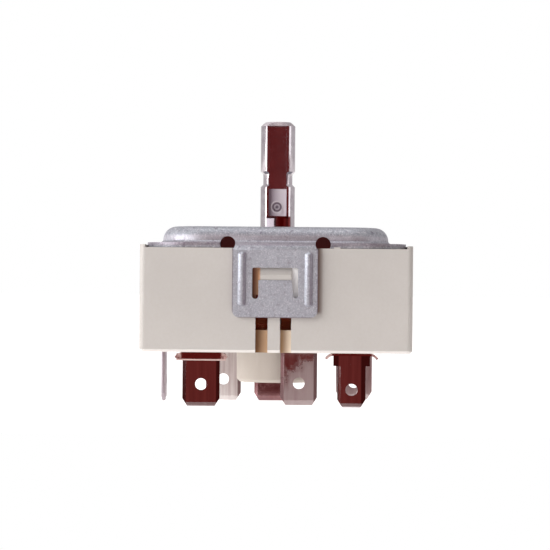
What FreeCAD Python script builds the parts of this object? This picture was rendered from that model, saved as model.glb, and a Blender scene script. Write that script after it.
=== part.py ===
import FreeCAD, Part
import math
import os

from FreeCAD import Vector

# Infinite switch for a range burner, in millimetres.
# The origin is on the shaft axis at the top of the cover's raised pad.
# X runs along the housing, minus Y faces the front strap, Z rises along the shaft.

# Housing, a moulded case that is open on top
HOUSING_LENGTH = 46.0
HOUSING_DEPTH = 38.0
HOUSING_HEIGHT = 17.6
HOUSING_WALL = 1.8
HOUSING_FLOOR = 2.2
HOUSING_CORNER_RADIUS = 0.9
HOUSING_BOTTOM_BEVEL = 0.4
CAVITY_CORNER_RADIUS = 4.2
LIP_THICKNESS = 0.85
LIP_RISE = 0.5
NIB_X = 10.2
NIB_LENGTH = 1.1
NIB_GAP = 0.05
NIB_RISE = 0.22
NIB_ROOT = 0.2

# Boss under the floor, which is the cam's lower bearing
BOSS_RADIUS = 6.9
BOSS_HEIGHT = 5.5
BOSS_EDGE = 0.55
BOSS_FLOOR = 1.25

# Snap catches and the mould grooves under them, at front and back
FEATURE_X = -0.2
CATCH_WIDTH = 5.5
CATCH_REACH = 0.75
CATCH_GAP = 0.05
CATCH_FACE_SHARE = 0.4
STRAP_CHAMFER = 0.6
GROOVE_LEFT_WIDTH = 2.07
GROOVE_RIGHT_WIDTH = 1.87
GROOVE_RIB = 2.08
GROOVE_SHIFT = -0.15
GROOVE_DEPTH = 1.1
GROOVE_WINDOW_TOP = -11.6
GROOVE_WINDOW_BOTTOM = -17.5

# Cover plate, stamped from sheet steel
SHEET = 0.85
FLANGE_GAP = 0.1
FLANGE_INSET = 0.3
FLANGE_CORNER_RADIUS = 7.0
PAD_END_INSET = 3.675
PAD_FRONT_INSET = 2.3
PAD_RISE = 2.8
PAD_CORNER_RADIUS = 7.5
PAD_SHOULDER_RADIUS = 2.3
PAD_FOOT_BEVEL = 0.4
FOOT_EDGE = 0.02
PAD_INNER_BEVEL = 1.0
SCREW_SPACING = 28.0
SCREW_HOLE_RADIUS = 1.65
SCREW_COLLAR_WALL = 0.6
SCREW_COLLAR_DEPTH = 1.3

# Snap strap, bent down over the housing at front and back
STRAP_WIDTH = 14.4
STRAP_BOTTOM = -15.4
STRAP_CORNER_RADIUS = 1.3
STRAP_BEND_RADIUS = 0.4
STRAP_GAP = 0.1
WINDOW_WIDTH = 7.75
WINDOW_TOP = -7.0
WINDOW_LEG = 1.1
WINDOW_LEG_NARROW = 0.8
WINDOW_LEG_BOTTOM = -12.24
WINDOW_CORNER = 0.35
TONGUE_TOP = -9.1
STRAP_RIB_X = 5.6
STRAP_RIB_TOP = -4.35
STRAP_RIB_BOTTOM = -13.5
STRAP_RIB_RADIUS = 0.7
STRAP_RIB_RISE = 0.45
RELIEF_X = 8.05
RELIEF_Z = -3.0
RELIEF_RADIUS = 1.3
RELIEF_OVERRUN = 0.4

# Control shaft, die-cast
SHAFT_RADIUS = 3.0
SHAFT_TOP = 18.6
SHAFT_CHAMFER = 0.75
SHAFT_CHAMFER_HEIGHT = 0.7
SHAFT_FLAT = 2.3
FLAT_BOTTOM = 1.75
CHANNEL_WIDTH = 3.1
CHANNEL_TOP = 17.9
CHANNEL_STEP = 6.9
CHANNEL_DEEP = 0.7
CHANNEL_SHALLOW = 1.75
CHANNEL_SILL = 0.4
NECK_TOP = 9.95
NECK_BOTTOM = 7.25
NECK_RADIUS = 2.55
PIN_MARK_Z = 3.15
PIN_MARK_RADIUS = 0.85
PIN_MARK_RIM = 0.22
PIN_MARK_RISE = 0.12
SHOULDER_RADIUS = 4.6
SHOULDER_THICKNESS = 1.2
SHOULDER_GAP = 0.05
SHAFT_FOOT = -22.6
PUSH_TRAVEL = 2.0
RUNNING_FIT = 0.06

# Control cam, moulded, with three tracks
CAM_HUB_RADIUS = 5.6
CAM_TOP_GAP = 0.3
CAM_THRUST_GAP = 0.05
TRUNNION_RADIUS = 5.0
TRUNNION_LENGTH = 5.7
CAM_RIM_RADIUS = 9.9
CAM_RIM_INSIDE = 5.2
CAM_RIM_TOP = -1.25
CAM_RIM_SIDES = 24
TRACK_RADIUS = 7.4
CONTROL_DROP = 1.5
CONTROL_RETURN = 50.0
CONTROL_Z = -7.65
CONTROL_HEIGHT = 3.5
PILOT_Z = -12.15
PILOT_HEIGHT = 2.5
PILOT_NOTCH = 0.9
PILOT_NOTCH_SPAN = 44.0
PILOT_PLACE = 0.0
LINE_Z = -16.15
LINE_HEIGHT = 2.5
LINE_NOTCH = 1.0
LINE_NOTCH_SPAN = 36.0
LINE_PLACE = 270.0
SPIRAL_ARCS = 4
ROUND_ARCS = 2
NOSE_CLEARANCE = 0.2

# Shaft spring, in the cam's counterbore
SPRING_WELL_RADIUS = 4.5
SPRING_FLOOR = -10.0
SPRING_RADIUS = 3.85
SPRING_WIRE = 0.3
SPRING_TURNS = 5.0
SPRING_STEPS = 12
SPRING_SIDES = 6
SPRING_SEAT_GAP = 0.03

# Quick-connect tabs
TAB_THICKNESS = 0.8
TAB_WIDTH = 6.3
TAB_NARROW_WIDTH = 4.8
TAB_LENGTH = 9.2
TAB_BEVEL = 0.6
TAB_BEVEL_DEPTH = 0.22
TAB_TIP_BEVEL = 0.85
TAB_CORNER_X = 0.85
TAB_CORNER_Z = 1.35
TAB_HOLE_RADIUS = 1.0
TAB_HOLE_UP = 3.75
TAB_SLOT_GAP = 0.05
TAB_STOP = 0.8
TAB_STOP_HEIGHT = 1.2
TAB_PLATE_INSET = 0.4

# Where each tab stands
FRONT_TAB_INSET = 3.0
FRONT_LEFT_INSET = 10.4
FRONT_RIGHT_SHIFT = 1.35
FRONT_RIGHT_HOLE_UP = 3.0
FRONT_RIGHT_SHOULDER_WIDTH = 6.2
FRONT_RIGHT_SHOULDER = 2.2
FRONT_MIDDLE_X = 3.95
FRONT_MIDDLE_GAP = 1.2
RIGHT_SHIFT = 2.1
RIGHT_Y = -1.0
RIGHT_TIP_RISE = 0.8
BACK_LEFT_X = -9.5
BACK_MIDDLE_X = -0.8
BACK_MIDDLE_GAP = 2.0
BACK_MIDDLE_HOLE_UP = 4.3
BACK_MIDDLE_INSET = 0.8
BACK_MIDDLE_DROP = 1.0
LEFT_END_INSET = 3.05
LEFT_END_Y = 7.0

# Clips on the two front tabs
CLIP_SHEET = 0.4
CLIP_LENGTH = 9.5
CLIP_DEPTH = 3.0
CLIP_CURL = 1.7
CLIP_CURL_ANGLE = 60.0
CLIP_CURL_STEPS = 4
CLIP_LIP = 1.4
CLIP_LIP_LENGTH = 8.4
CLIP_GAP = 0.05

# Contact blades, their noses and contacts
BLADE_SHEET = 0.3
BLADE_HEIGHT = 3.5
BLADE_BEND = 0.8
BLADE_GAP = 0.15
CONTACT_RADIUS = 1.4
CONTACT_HEAD = 0.5
CONTACT_SHANK = 0.6
CONTACT_TAIL = 0.9
CONTACT_TAIL_HEIGHT = 0.2
CONTACT_TRAVEL = 0.5
CLOSED_GAP = 0.05
CROWN_SHARE = 0.55
CROWN_TOP_SHARE = 0.35
SMALL_SIDES = 12
HOLE_REACH = 1.0
NOSE_RADIUS = 0.95
NOSE_SHANK = 0.5
RIVET_RADIUS = 0.7
RIVET_HEAD = 1.25
RIVET_HEAD_HEIGHT = 0.4
RIVET_HOLE_GAP = 0.2
FOLD_RADIUS = 0.65
FOLD_MARGIN = 0.4
BLADE_ROOT = 1.8

# Line pole, in front of the cam
LINE_RIVET_X = 4.4
LINE_TIP_REACH = 1.7
LINE_NOSE_X = 0.0
LINE_FOLD_REACH = 2.7

# Pilot pole, right of the cam
PILOT_FLANGE_X = 10.6
PILOT_RIVET_SETBACK = 2.6
PILOT_ROOT = 1.6
PILOT_TIP_Y = 4.8
PILOT_CONTACT_Y = 3.2
PILOT_NOSE_Y = 0.0

# Cycling pole, behind the cam on the left
CYCLE_Z = -8.15
CYCLE_TIP_X = -5.6
CYCLE_RIVET_SETBACK = 3.0
CYCLE_ROOT_SETBACK = 1.5
CYCLE_TAB_SETBACK = 3.2
PUSHER_X = -7.0

# Control lever with its pin and screw
PIN_INSET = 6.5
PIN_SHARE = 0.265
PIN_RADIUS = 1.2
PIN_TOP_GAP = 0.5
POST_RADIUS = 2.3
POST_TOP = -11.6
BARREL_RADIUS = 2.2
BARREL_TOP = -4.9
BARREL_GAP = 0.1
LEVER_SHEET = 0.8
LEVER_TIP_X = 0.7
LEVER_NOSE_RADIUS = 1.0
LEVER_NOSE_INSET = 0.5
LEVER_REACH = 4.2042
LEVER_TAB_LENGTH = 3.7
SCREW_SETBACK = 5.5
SCREW_RADIUS = 1.25
SCREW_HEAD_RADIUS = 1.9
SCREW_HEAD_HEIGHT = 1.3
SCREW_SLOT_WIDTH = 0.5
SCREW_SLOT_DEPTH = 0.6

# Bimetal with its heater
BIMETAL_THICKNESS = 0.8
BIMETAL_HEIGHT = 5.0
BIMETAL_Z = -7.9
BIMETAL_TIP_X = -8.3
BIMETAL_ROOT_SETBACK = 0.9
BIMETAL_RIVET_SETBACK = 2.2
BIMETAL_RIVET_SPREAD = 1.1
BIMETAL_RIVET_HEAD = 1.05
MICA_THICKNESS = 0.3
MICA_START_X = -1.6
MICA_SCREW_GAP = 2.2
MICA_MARGIN = 0.95
WIRE_WIDTH = 0.5
WIRE_THICKNESS = 0.35
WIRE_TURNS = 7
PUSHER_RADIUS = 0.8

# Directions in which small round pieces and their holes point
ALONG_X = Vector(1, 0, 0)
ALONG_Y = Vector(0, 1, 0)

# Lengths, places and heights that follow from the sizes above
FLANGE_DEPTH = HOUSING_DEPTH - 2 * FLANGE_INSET
PAD_LENGTH = HOUSING_LENGTH - 2 * PAD_END_INSET
PAD_DEPTH = HOUSING_DEPTH - 2 * PAD_FRONT_INSET
FRONT_LEFT_X = FRONT_LEFT_INSET - HOUSING_LENGTH / 2
FRONT_LEFT_Y = FRONT_TAB_INSET - HOUSING_DEPTH / 2
FRONT_RIGHT_X = HOUSING_LENGTH / 4 + FRONT_RIGHT_SHIFT
FRONT_RIGHT_Y = FRONT_LEFT_Y
FRONT_MIDDLE_Y = -TRACK_RADIUS - FRONT_MIDDLE_GAP
RIGHT_X = HOUSING_LENGTH / 4 + RIGHT_SHIFT
BACK_MIDDLE_Y = TRACK_RADIUS + BACK_MIDDLE_GAP
LEFT_END_X = LEFT_END_INSET - HOUSING_LENGTH / 2
LINE_CONTACT_X = FRONT_LEFT_X
LINE_TIP_X = FRONT_LEFT_X - LINE_TIP_REACH
LINE_FOLD_X = FRONT_LEFT_X - LINE_FOLD_REACH
PILOT_RIVET_Y = FRONT_RIGHT_Y + PILOT_RIVET_SETBACK
BACK_ROOM = HOUSING_DEPTH / 2 - HOUSING_WALL - TRACK_RADIUS
PIN_X = HOUSING_LENGTH / 2 - PIN_INSET
PIN_Y = TRACK_RADIUS + PIN_SHARE * BACK_ROOM
LEVER_TAB_X = PIN_X - LEVER_TAB_LENGTH
LEVER_TAB_Y = PIN_Y + LEVER_REACH
SCREW_X = PIN_X - SCREW_SETBACK
BIMETAL_ROOT_X = PIN_X - BIMETAL_ROOT_SETBACK
BIMETAL_RIVET_X = PIN_X - BIMETAL_RIVET_SETBACK
MICA_END_X = SCREW_X - MICA_SCREW_GAP
FLANGE_TOP = -PAD_RISE
HOUSING_TOP = FLANGE_TOP - SHEET - 0.05
HOUSING_BOTTOM = HOUSING_TOP - HOUSING_HEIGHT
CAVITY_FLOOR = HOUSING_BOTTOM + HOUSING_FLOOR
BOSS_BOTTOM = HOUSING_BOTTOM - BOSS_HEIGHT
TIP_Z = HOUSING_BOTTOM - TAB_LENGTH
FRONT_FACE = -HOUSING_DEPTH / 2
FLANGE_LENGTH = HOUSING_LENGTH - 2 * (LIP_THICKNESS + FLANGE_GAP)
STRAP_INNER = FRONT_FACE - STRAP_GAP
STRAP_OUTER = STRAP_INNER - SHEET
PAD_FRONT = -PAD_DEPTH / 2
SHAFT_BORE = SHAFT_RADIUS + RUNNING_FIT
SHOULDER_TOP = -SHEET - SHOULDER_GAP
SHOULDER_BOTTOM = SHOULDER_TOP - SHOULDER_THICKNESS
CAM_TOP = SHOULDER_BOTTOM - PUSH_TRAVEL - CAM_TOP_GAP
CAM_BOTTOM = CAVITY_FLOOR + CAM_THRUST_GAP
TRUNNION_BOTTOM = CAM_BOTTOM - TRUNNION_LENGTH
HALF_TAB = TAB_THICKNESS / 2
HALF_BLADE = BLADE_SHEET / 2
NOSE_REACH = TRACK_RADIUS + NOSE_CLEARANCE
LINE_BLADE_Y = FRONT_MIDDLE_Y - HALF_TAB - BLADE_GAP - HALF_BLADE
PILOT_BLADE_X = PILOT_FLANGE_X - HALF_TAB - BLADE_GAP - HALF_BLADE
CYCLE_BLADE_X = LEFT_END_X + HALF_TAB + BLADE_GAP + HALF_BLADE
LINE_FOLD_Y = LINE_BLADE_Y - HALF_BLADE - 2 * CONTACT_HEAD - CONTACT_TRAVEL - HALF_TAB
PILOT_FOLD_X = PILOT_BLADE_X + HALF_BLADE + 2 * CONTACT_HEAD + CONTACT_TRAVEL + HALF_TAB
BIMETAL_BACK = LEVER_TAB_Y - LEVER_SHEET / 2
BIMETAL_FRONT = BIMETAL_BACK - BIMETAL_THICKNESS
BACK_LEFT_Y = BIMETAL_FRONT - CYCLE_TAB_SETBACK
CYCLE_BLADE_Y = BACK_LEFT_Y + HALF_TAB + 2 * CONTACT_HEAD + CLOSED_GAP + HALF_BLADE
CYCLE_RIVET_Y = CYCLE_BLADE_Y - CYCLE_RIVET_SETBACK
CYCLE_ROOT_Y = CYCLE_RIVET_Y - CYCLE_ROOT_SETBACK
WIRE_PITCH = (MICA_END_X - MICA_START_X - MICA_MARGIN) / WIRE_TURNS


def box(x0, x1, y0, y1, z0, z1):
    return Part.makeBox(x1 - x0, y1 - y0, z1 - z0, Vector(x0, y0, z0))


def rod_x(radius, y, z, x0, x1):
    return Part.makeCylinder(radius, x1 - x0, Vector(x0, y, z), Vector(1, 0, 0))


def rod_y(radius, x, z, y0, y1):
    return Part.makeCylinder(radius, y1 - y0, Vector(x, y0, z), ALONG_Y)


def rod_z(radius, x, y, z0, z1):
    return Part.makeCylinder(radius, z1 - z0, Vector(x, y, z0), Vector(0, 0, 1))


def joined(shapes):
    whole = shapes[0].fuse(shapes[1:])
    return whole.removeSplitter()


def turned_about_z(shape, angle, centre=Vector(0, 0, 0)):
    copy = shape.copy()
    copy.rotate(centre, Vector(0, 0, 1), angle)
    return copy


def placed(shape, position, direction):
    """The shape with its own +Z turned to a direction and moved to a position."""
    copy = shape.copy()
    copy.Placement = FreeCAD.Placement(position, FreeCAD.Rotation(Vector(0, 0, 1), direction))
    return copy


def front_and_back(shapes):
    """Shapes moved onto the strap's centre line, and the same turned round to the back."""
    both = []
    centre = Vector(FEATURE_X, 0, 0)
    for shape in shapes:
        front = shape.copy()
        front.translate(centre)
        both.append(front)
        both.append(turned_about_z(front, 180, centre))
    return both


def edge_span(edge):
    bounds = edge.BoundBox
    return bounds.XLength, bounds.YLength, bounds.ZLength


def upright_edges(shape):
    chosen = []
    for edge in shape.Edges:
        across, along, up = edge_span(edge)
        if across < 1e-6 and along < 1e-6 and up > 1e-6:
            chosen.append(edge)
    return chosen


def level_edges(shape, height):
    chosen = []
    for edge in shape.Edges:
        bounds = edge.BoundBox
        if abs(bounds.ZMin - height) < 1e-5 and abs(bounds.ZMax - height) < 1e-5:
            chosen.append(edge)
    return chosen


def rounded_block(length, depth, radius, z0, z1):
    block = box(-length / 2, length / 2, -depth / 2, depth / 2, z0, z1)
    return block.makeFillet(radius, upright_edges(block))


def prism(points, direction):
    """A straight prism on a closed outline."""
    outline = Part.makePolygon(points + [points[0]])
    return Part.Face(outline).extrude(direction)


def turned_profile(points):
    """A solid of revolution about Z from radius and height pairs."""
    corners = [Vector(radius, 0, height) for radius, height in points]
    outline = Part.makePolygon(corners + [corners[0]])
    return Part.Face(outline).revolve(Vector(0, 0, 0), Vector(0, 0, 1), 360)


def strip_side(points, radius, offset):
    """One edge line of a bent strip, as lines with a tangent arc at each bend."""
    edges = []
    start = None
    for index in range(len(points) - 1):
        run = (points[index + 1] - points[index]).normalize()
        side = Vector(-run.y, run.x, 0)
        if start is None:
            start = points[index] + side * offset
        if index + 2 == len(points):
            edges.append(Part.makeLine(start, points[index + 1] + side * offset))
            continue
        following = (points[index + 2] - points[index + 1]).normalize()
        turn = run.x * following.y - run.y * following.x
        sign = 1.0 if turn > 0 else -1.0
        angle = math.acos(max(-1.0, min(1.0, run.dot(following))))
        setback = radius * math.tan(angle / 2)
        entry = points[index + 1] - run * setback
        leave = points[index + 1] + following * setback
        centre = entry + side * (sign * radius)
        outward = (points[index + 1] - centre).normalize()
        next_side = Vector(-following.y, following.x, 0)
        bend_in = entry + side * offset
        bend_out = leave + next_side * offset
        middle = centre + outward * (radius - sign * offset)
        edges.append(Part.makeLine(start, bend_in))
        edges.append(Part.Arc(bend_in, middle, bend_out).toShape())
        start = bend_out
    return edges


def bent_strip(route, thickness, radius, z0, z1):
    """Sheet standing on edge, which follows a route in plan with rounded bends."""
    points = [Vector(x, y, z0) for x, y in route]
    left = strip_side(points, radius, thickness / 2)
    right = strip_side(points, radius, -thickness / 2)
    first = Part.makeLine(right[0].Vertexes[0].Point, left[0].Vertexes[0].Point)
    last = Part.makeLine(left[-1].Vertexes[-1].Point, right[-1].Vertexes[-1].Point)
    ordered = Part.sortEdges([first, last] + left + right)[0]
    return Part.Face(Part.Wire(ordered)).extrude(Vector(0, 0, z1 - z0))


def ring(radius, height, sides=SMALL_SIDES):
    """Corners of a small or hidden round: a level regular polygon, closed."""
    corners = []
    for index in range(sides + 1):
        angle = 2 * math.pi * (index % sides + 0.5) / sides
        corners.append(Vector(radius * math.cos(angle), radius * math.sin(angle), height))
    return corners


def small_rod(radius, z0, z1):
    return small_taper(radius, z0, radius, z1)


def small_taper(radius0, z0, radius1, z1):
    """Small round that narrows evenly from one height to another."""
    low = ring(radius0, z0)
    high = ring(radius1, z1)
    faces = [Part.Face(Part.makePolygon(low)), Part.Face(Part.makePolygon(high))]
    for index in range(SMALL_SIDES):
        corners = [low[index], low[index + 1], high[index + 1], high[index]]
        faces.append(Part.Face(Part.makePolygon(corners + [corners[0]])))
    solid = Part.Solid(Part.Shell(faces))
    if solid.Volume < 0:
        solid.reverse()
    return solid


def small_hole(radius, x, y, z, direction):
    """Cutter for a small round hole through sheet at a point."""
    return placed(small_rod(radius, -HOLE_REACH, HOLE_REACH), Vector(x, y, z), direction)


def button(head_radius, head, shank_radius, grip, tail_radius, tail):
    """Rivet-like button: crowned head above zero, shank through the sheet, tail behind."""
    edge = head - min(head, head_radius) * CROWN_SHARE
    pieces = [
        small_taper(head_radius, edge, head_radius * CROWN_TOP_SHARE, head),
        small_rod(head_radius, 0, edge),
        small_rod(shank_radius, -grip, 0),
        small_rod(tail_radius, -grip - tail, -grip),
    ]
    return joined(pieces)


def contact_rivet(grip):
    return button(
        CONTACT_RADIUS, CONTACT_HEAD, CONTACT_SHANK, grip, CONTACT_TAIL, CONTACT_TAIL_HEIGHT
    )


def follower_nose(length):
    """Moulded button that rides the cam, with its shank through the blade."""
    return button(
        NOSE_RADIUS, length, NOSE_SHANK, BLADE_SHEET, CONTACT_TAIL, CONTACT_TAIL_HEIGHT
    )


def plain_rivet(grip):
    """Rivet that holds a blade's root, with heads at both ends of its grip."""
    return button(
        RIVET_HEAD, RIVET_HEAD_HEIGHT, RIVET_RADIUS, grip, RIVET_HEAD, RIVET_HEAD_HEIGHT / 2
    )


def catch_wedge():
    """Ramp that the strap snaps over, with a square underside for the tongue."""
    outer = FRONT_FACE - CATCH_REACH
    root = FRONT_FACE + HOUSING_WALL / 2
    under = TONGUE_TOP + CATCH_GAP
    top = WINDOW_TOP - CATCH_GAP
    profile = [
        Vector(-CATCH_WIDTH / 2, root, under),
        Vector(-CATCH_WIDTH / 2, outer, under),
        Vector(-CATCH_WIDTH / 2, outer, under + (top - under) * CATCH_FACE_SHARE),
        Vector(-CATCH_WIDTH / 2, FRONT_FACE, top),
        Vector(-CATCH_WIDTH / 2, root, top),
    ]
    return prism(profile, Vector(CATCH_WIDTH, 0, 0))


def strap_chamfer():
    """Bevel on the case's top edge, which clears the inside of the strap's bend."""
    half = STRAP_WIDTH / 2 + CATCH_GAP
    profile = [
        Vector(-half, FRONT_FACE - 1, HOUSING_TOP - 1 - STRAP_CHAMFER),
        Vector(-half, FRONT_FACE + 1 + STRAP_CHAMFER, HOUSING_TOP + 1),
        Vector(-half, FRONT_FACE - 1, HOUSING_TOP + 1),
    ]
    return prism(profile, Vector(2 * half, 0, 0))


def mould_grooves():
    """Two grooves under the catch: open windows above, blind recesses below."""
    inner = FRONT_FACE + HOUSING_WALL + 1
    outer = FRONT_FACE - 1
    blind = FRONT_FACE + GROOVE_DEPTH
    left = GROOVE_SHIFT - GROOVE_RIB / 2
    right = GROOVE_SHIFT + GROOVE_RIB / 2
    cuts = []
    for x0, x1 in ((left - GROOVE_LEFT_WIDTH, left), (right, right + GROOVE_RIGHT_WIDTH)):
        cuts.append(box(x0, x1, outer, inner, GROOVE_WINDOW_BOTTOM, GROOVE_WINDOW_TOP))
        cuts.append(box(x0, x1, outer, blind, HOUSING_BOTTOM - 1, GROOVE_WINDOW_BOTTOM))
    return cuts


def tab_slot(x, y, width, quarter_turn):
    half_width = width / 2 + TAB_SLOT_GAP
    half_depth = HALF_TAB + TAB_SLOT_GAP
    slot = box(-half_width, half_width, -half_depth, half_depth, HOUSING_BOTTOM - 1, CAVITY_FLOOR + 1)
    if quarter_turn:
        slot = turned_about_z(slot, 90)
    slot.translate(Vector(x, y, 0))
    return slot


def boss():
    """Bearing boss with its lower edge bevelled."""
    profile = [
        (0, BOSS_BOTTOM),
        (BOSS_RADIUS - BOSS_EDGE, BOSS_BOTTOM),
        (BOSS_RADIUS, BOSS_BOTTOM + BOSS_EDGE),
        (BOSS_RADIUS, HOUSING_BOTTOM + HOUSING_FLOOR / 2),
        (0, HOUSING_BOTTOM + HOUSING_FLOOR / 2),
    ]
    return turned_profile(profile)


def housing():
    top = HOUSING_TOP + LIP_RISE
    body = rounded_block(
        HOUSING_LENGTH, HOUSING_DEPTH, HOUSING_CORNER_RADIUS, HOUSING_BOTTOM, top
    )
    body = body.makeChamfer(HOUSING_BOTTOM_BEVEL, level_edges(body, HOUSING_BOTTOM))
    lip_inner = HOUSING_LENGTH / 2 - LIP_THICKNESS
    step = box(-lip_inner, lip_inner, -HOUSING_DEPTH, HOUSING_DEPTH, HOUSING_TOP, top + 1)
    cavity = rounded_block(
        HOUSING_LENGTH - 2 * HOUSING_WALL,
        HOUSING_DEPTH - 2 * HOUSING_WALL,
        CAVITY_CORNER_RADIUS,
        CAVITY_FLOOR,
        top + 1,
    )
    well = rod_z(TRUNNION_RADIUS + RUNNING_FIT, 0, 0, BOSS_BOTTOM + BOSS_FLOOR, CAVITY_FLOOR + 1)
    nib = box(
        NIB_X - NIB_LENGTH / 2,
        NIB_X + NIB_LENGTH / 2,
        FRONT_FACE,
        -FLANGE_DEPTH / 2 - NIB_GAP,
        HOUSING_TOP - NIB_ROOT,
        HOUSING_TOP + NIB_RISE,
    )
    post = rod_z(POST_RADIUS, PIN_X, PIN_Y, CAVITY_FLOOR - HOUSING_FLOOR / 2, POST_TOP)
    pin_hole = rod_z(PIN_RADIUS, PIN_X, PIN_Y, CAVITY_FLOOR, POST_TOP + 1)
    body = body.cut([step, cavity])
    body = joined([body, boss(), post, nib] + front_and_back([catch_wedge()]))
    cuts = [well, pin_hole] + front_and_back(mould_grooves() + [strap_chamfer()])
    for x, y, width, quarter_turn in tab_places():
        cuts.append(tab_slot(x, y, width, quarter_turn))
    return body.cut(cuts)


def tab_places():
    return [
        (FRONT_LEFT_X, FRONT_LEFT_Y, TAB_WIDTH, False),
        (FRONT_MIDDLE_X, FRONT_MIDDLE_Y, TAB_WIDTH, False),
        (FRONT_RIGHT_X, FRONT_RIGHT_Y, TAB_NARROW_WIDTH, False),
        (RIGHT_X, RIGHT_Y, TAB_WIDTH, False),
        (BACK_LEFT_X, BACK_LEFT_Y, TAB_WIDTH, False),
        (BACK_MIDDLE_X, BACK_MIDDLE_Y, TAB_WIDTH, False),
        (LEFT_END_X, LEFT_END_Y, TAB_WIDTH, True),
    ]


def pad_hollow():
    """Inside of the drawn pad, one sheet in from its outside."""
    hollow = rounded_block(
        PAD_LENGTH - 2 * SHEET,
        PAD_DEPTH - 2 * SHEET,
        PAD_CORNER_RADIUS - SHEET,
        FLANGE_TOP - SHEET - 1,
        -SHEET,
    )
    hollow = hollow.makeChamfer(PAD_INNER_BEVEL, level_edges(hollow, -SHEET))
    hollow.translate(Vector(FEATURE_X, 0, 0))
    return hollow


def pad_shell():
    """Flange with the drawn pad: rounded shoulder and bevelled foot."""
    flange = rounded_block(
        FLANGE_LENGTH, FLANGE_DEPTH, FLANGE_CORNER_RADIUS, FLANGE_TOP - SHEET, FLANGE_TOP
    )
    pad = rounded_block(PAD_LENGTH, PAD_DEPTH, PAD_CORNER_RADIUS, FLANGE_TOP - SHEET / 2, 0)
    pad = pad.makeFillet(PAD_SHOULDER_RADIUS, level_edges(pad, 0))
    spread = 2 * PAD_FOOT_BEVEL
    foot = rounded_block(
        PAD_LENGTH + spread,
        PAD_DEPTH + spread,
        PAD_CORNER_RADIUS + PAD_FOOT_BEVEL,
        FLANGE_TOP - SHEET / 2,
        FLANGE_TOP + PAD_FOOT_BEVEL,
    )
    foot = foot.makeChamfer(PAD_FOOT_BEVEL - FOOT_EDGE, level_edges(foot, FLANGE_TOP + PAD_FOOT_BEVEL))
    for piece in (pad, foot):
        piece.translate(Vector(FEATURE_X, 0, 0))
    return joined([flange, pad, foot])


def strap_blank():
    """Strip that leaves the pad's foot level and bends down the housing's front."""
    outer = STRAP_BEND_RADIUS + SHEET
    bend_y = STRAP_OUTER + outer
    bend_z = FLANGE_TOP - outer
    turn = math.sqrt(0.5)
    root_y = PAD_FRONT + SHEET
    outer_middle = Vector(0, bend_y - outer * turn, bend_z + outer * turn)
    inner_middle = Vector(0, bend_y - STRAP_BEND_RADIUS * turn, bend_z + STRAP_BEND_RADIUS * turn)
    edges = [
        Part.makeLine(Vector(0, root_y, FLANGE_TOP), Vector(0, bend_y, FLANGE_TOP)),
        Part.Arc(
            Vector(0, bend_y, FLANGE_TOP), outer_middle, Vector(0, STRAP_OUTER, bend_z)
        ).toShape(),
        Part.makeLine(Vector(0, STRAP_OUTER, bend_z), Vector(0, STRAP_OUTER, STRAP_BOTTOM)),
        Part.makeLine(Vector(0, STRAP_OUTER, STRAP_BOTTOM), Vector(0, STRAP_INNER, STRAP_BOTTOM)),
        Part.makeLine(Vector(0, STRAP_INNER, STRAP_BOTTOM), Vector(0, STRAP_INNER, bend_z)),
        Part.Arc(
            Vector(0, STRAP_INNER, bend_z), inner_middle, Vector(0, bend_y, FLANGE_TOP - SHEET)
        ).toShape(),
        Part.makeLine(Vector(0, bend_y, FLANGE_TOP - SHEET), Vector(0, root_y, FLANGE_TOP - SHEET)),
        Part.makeLine(Vector(0, root_y, FLANGE_TOP - SHEET), Vector(0, root_y, FLANGE_TOP)),
    ]
    outline = Part.Wire(Part.sortEdges(edges)[0])
    strip = Part.Face(outline).extrude(Vector(STRAP_WIDTH, 0, 0))
    strip.translate(Vector(-STRAP_WIDTH / 2, 0, 0))
    corners = [
        edge
        for edge in strip.Edges
        if edge_span(edge)[1] > SHEET * 0.9
        and edge_span(edge)[0] < 1e-6
        and edge.BoundBox.ZMax < STRAP_BOTTOM + 1e-5
    ]
    return strip.makeFillet(STRAP_CORNER_RADIUS, corners)


def strap_window():
    """Slot in the shape of an upside-down U, which leaves a tongue standing in it."""
    half = WINDOW_WIDTH / 2
    front = STRAP_OUTER - 1
    back = STRAP_INNER + 0.5
    low = WINDOW_LEG_BOTTOM + WINDOW_LEG / 2
    frame = box(-half, half, front, back, low, WINDOW_TOP)
    frame_corners = [
        edge
        for edge in frame.Edges
        if edge_span(edge)[1] > 1 and edge.BoundBox.ZMin > WINDOW_TOP - 0.01
    ]
    frame = frame.makeFillet(WINDOW_CORNER, frame_corners)
    tongue = [
        Vector(-half + WINDOW_LEG, front, low - 1),
        Vector(-half + WINDOW_LEG, front, TONGUE_TOP),
        Vector(half - WINDOW_LEG, front, TONGUE_TOP),
        Vector(half - WINDOW_LEG_NARROW, front, low),
        Vector(half - WINDOW_LEG_NARROW, front, low - 1),
    ]
    slot = frame.cut(prism(tongue, Vector(0, back - front, 0)))
    left_end = rod_y(WINDOW_LEG / 2, WINDOW_LEG / 2 - half, low, front, back)
    right_end = rod_y(WINDOW_LEG_NARROW / 2, half - WINDOW_LEG_NARROW / 2, low, front, back)
    return joined([slot, left_end, right_end])


def strap_rib(side):
    """Pressed rib that stands proud of the strap, round in section with tapered ends."""
    slim = STRAP_RIB_RADIUS / 2
    profile = [
        (0, STRAP_RIB_BOTTOM),
        (slim, STRAP_RIB_BOTTOM),
        (STRAP_RIB_RADIUS, STRAP_RIB_BOTTOM + slim),
        (STRAP_RIB_RADIUS, STRAP_RIB_TOP - slim),
        (slim, STRAP_RIB_TOP),
        (0, STRAP_RIB_TOP),
    ]
    rib = turned_profile(profile)
    rib.translate(Vector(side * STRAP_RIB_X, STRAP_OUTER + STRAP_RIB_RADIUS - STRAP_RIB_RISE, 0))
    return rib


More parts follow.
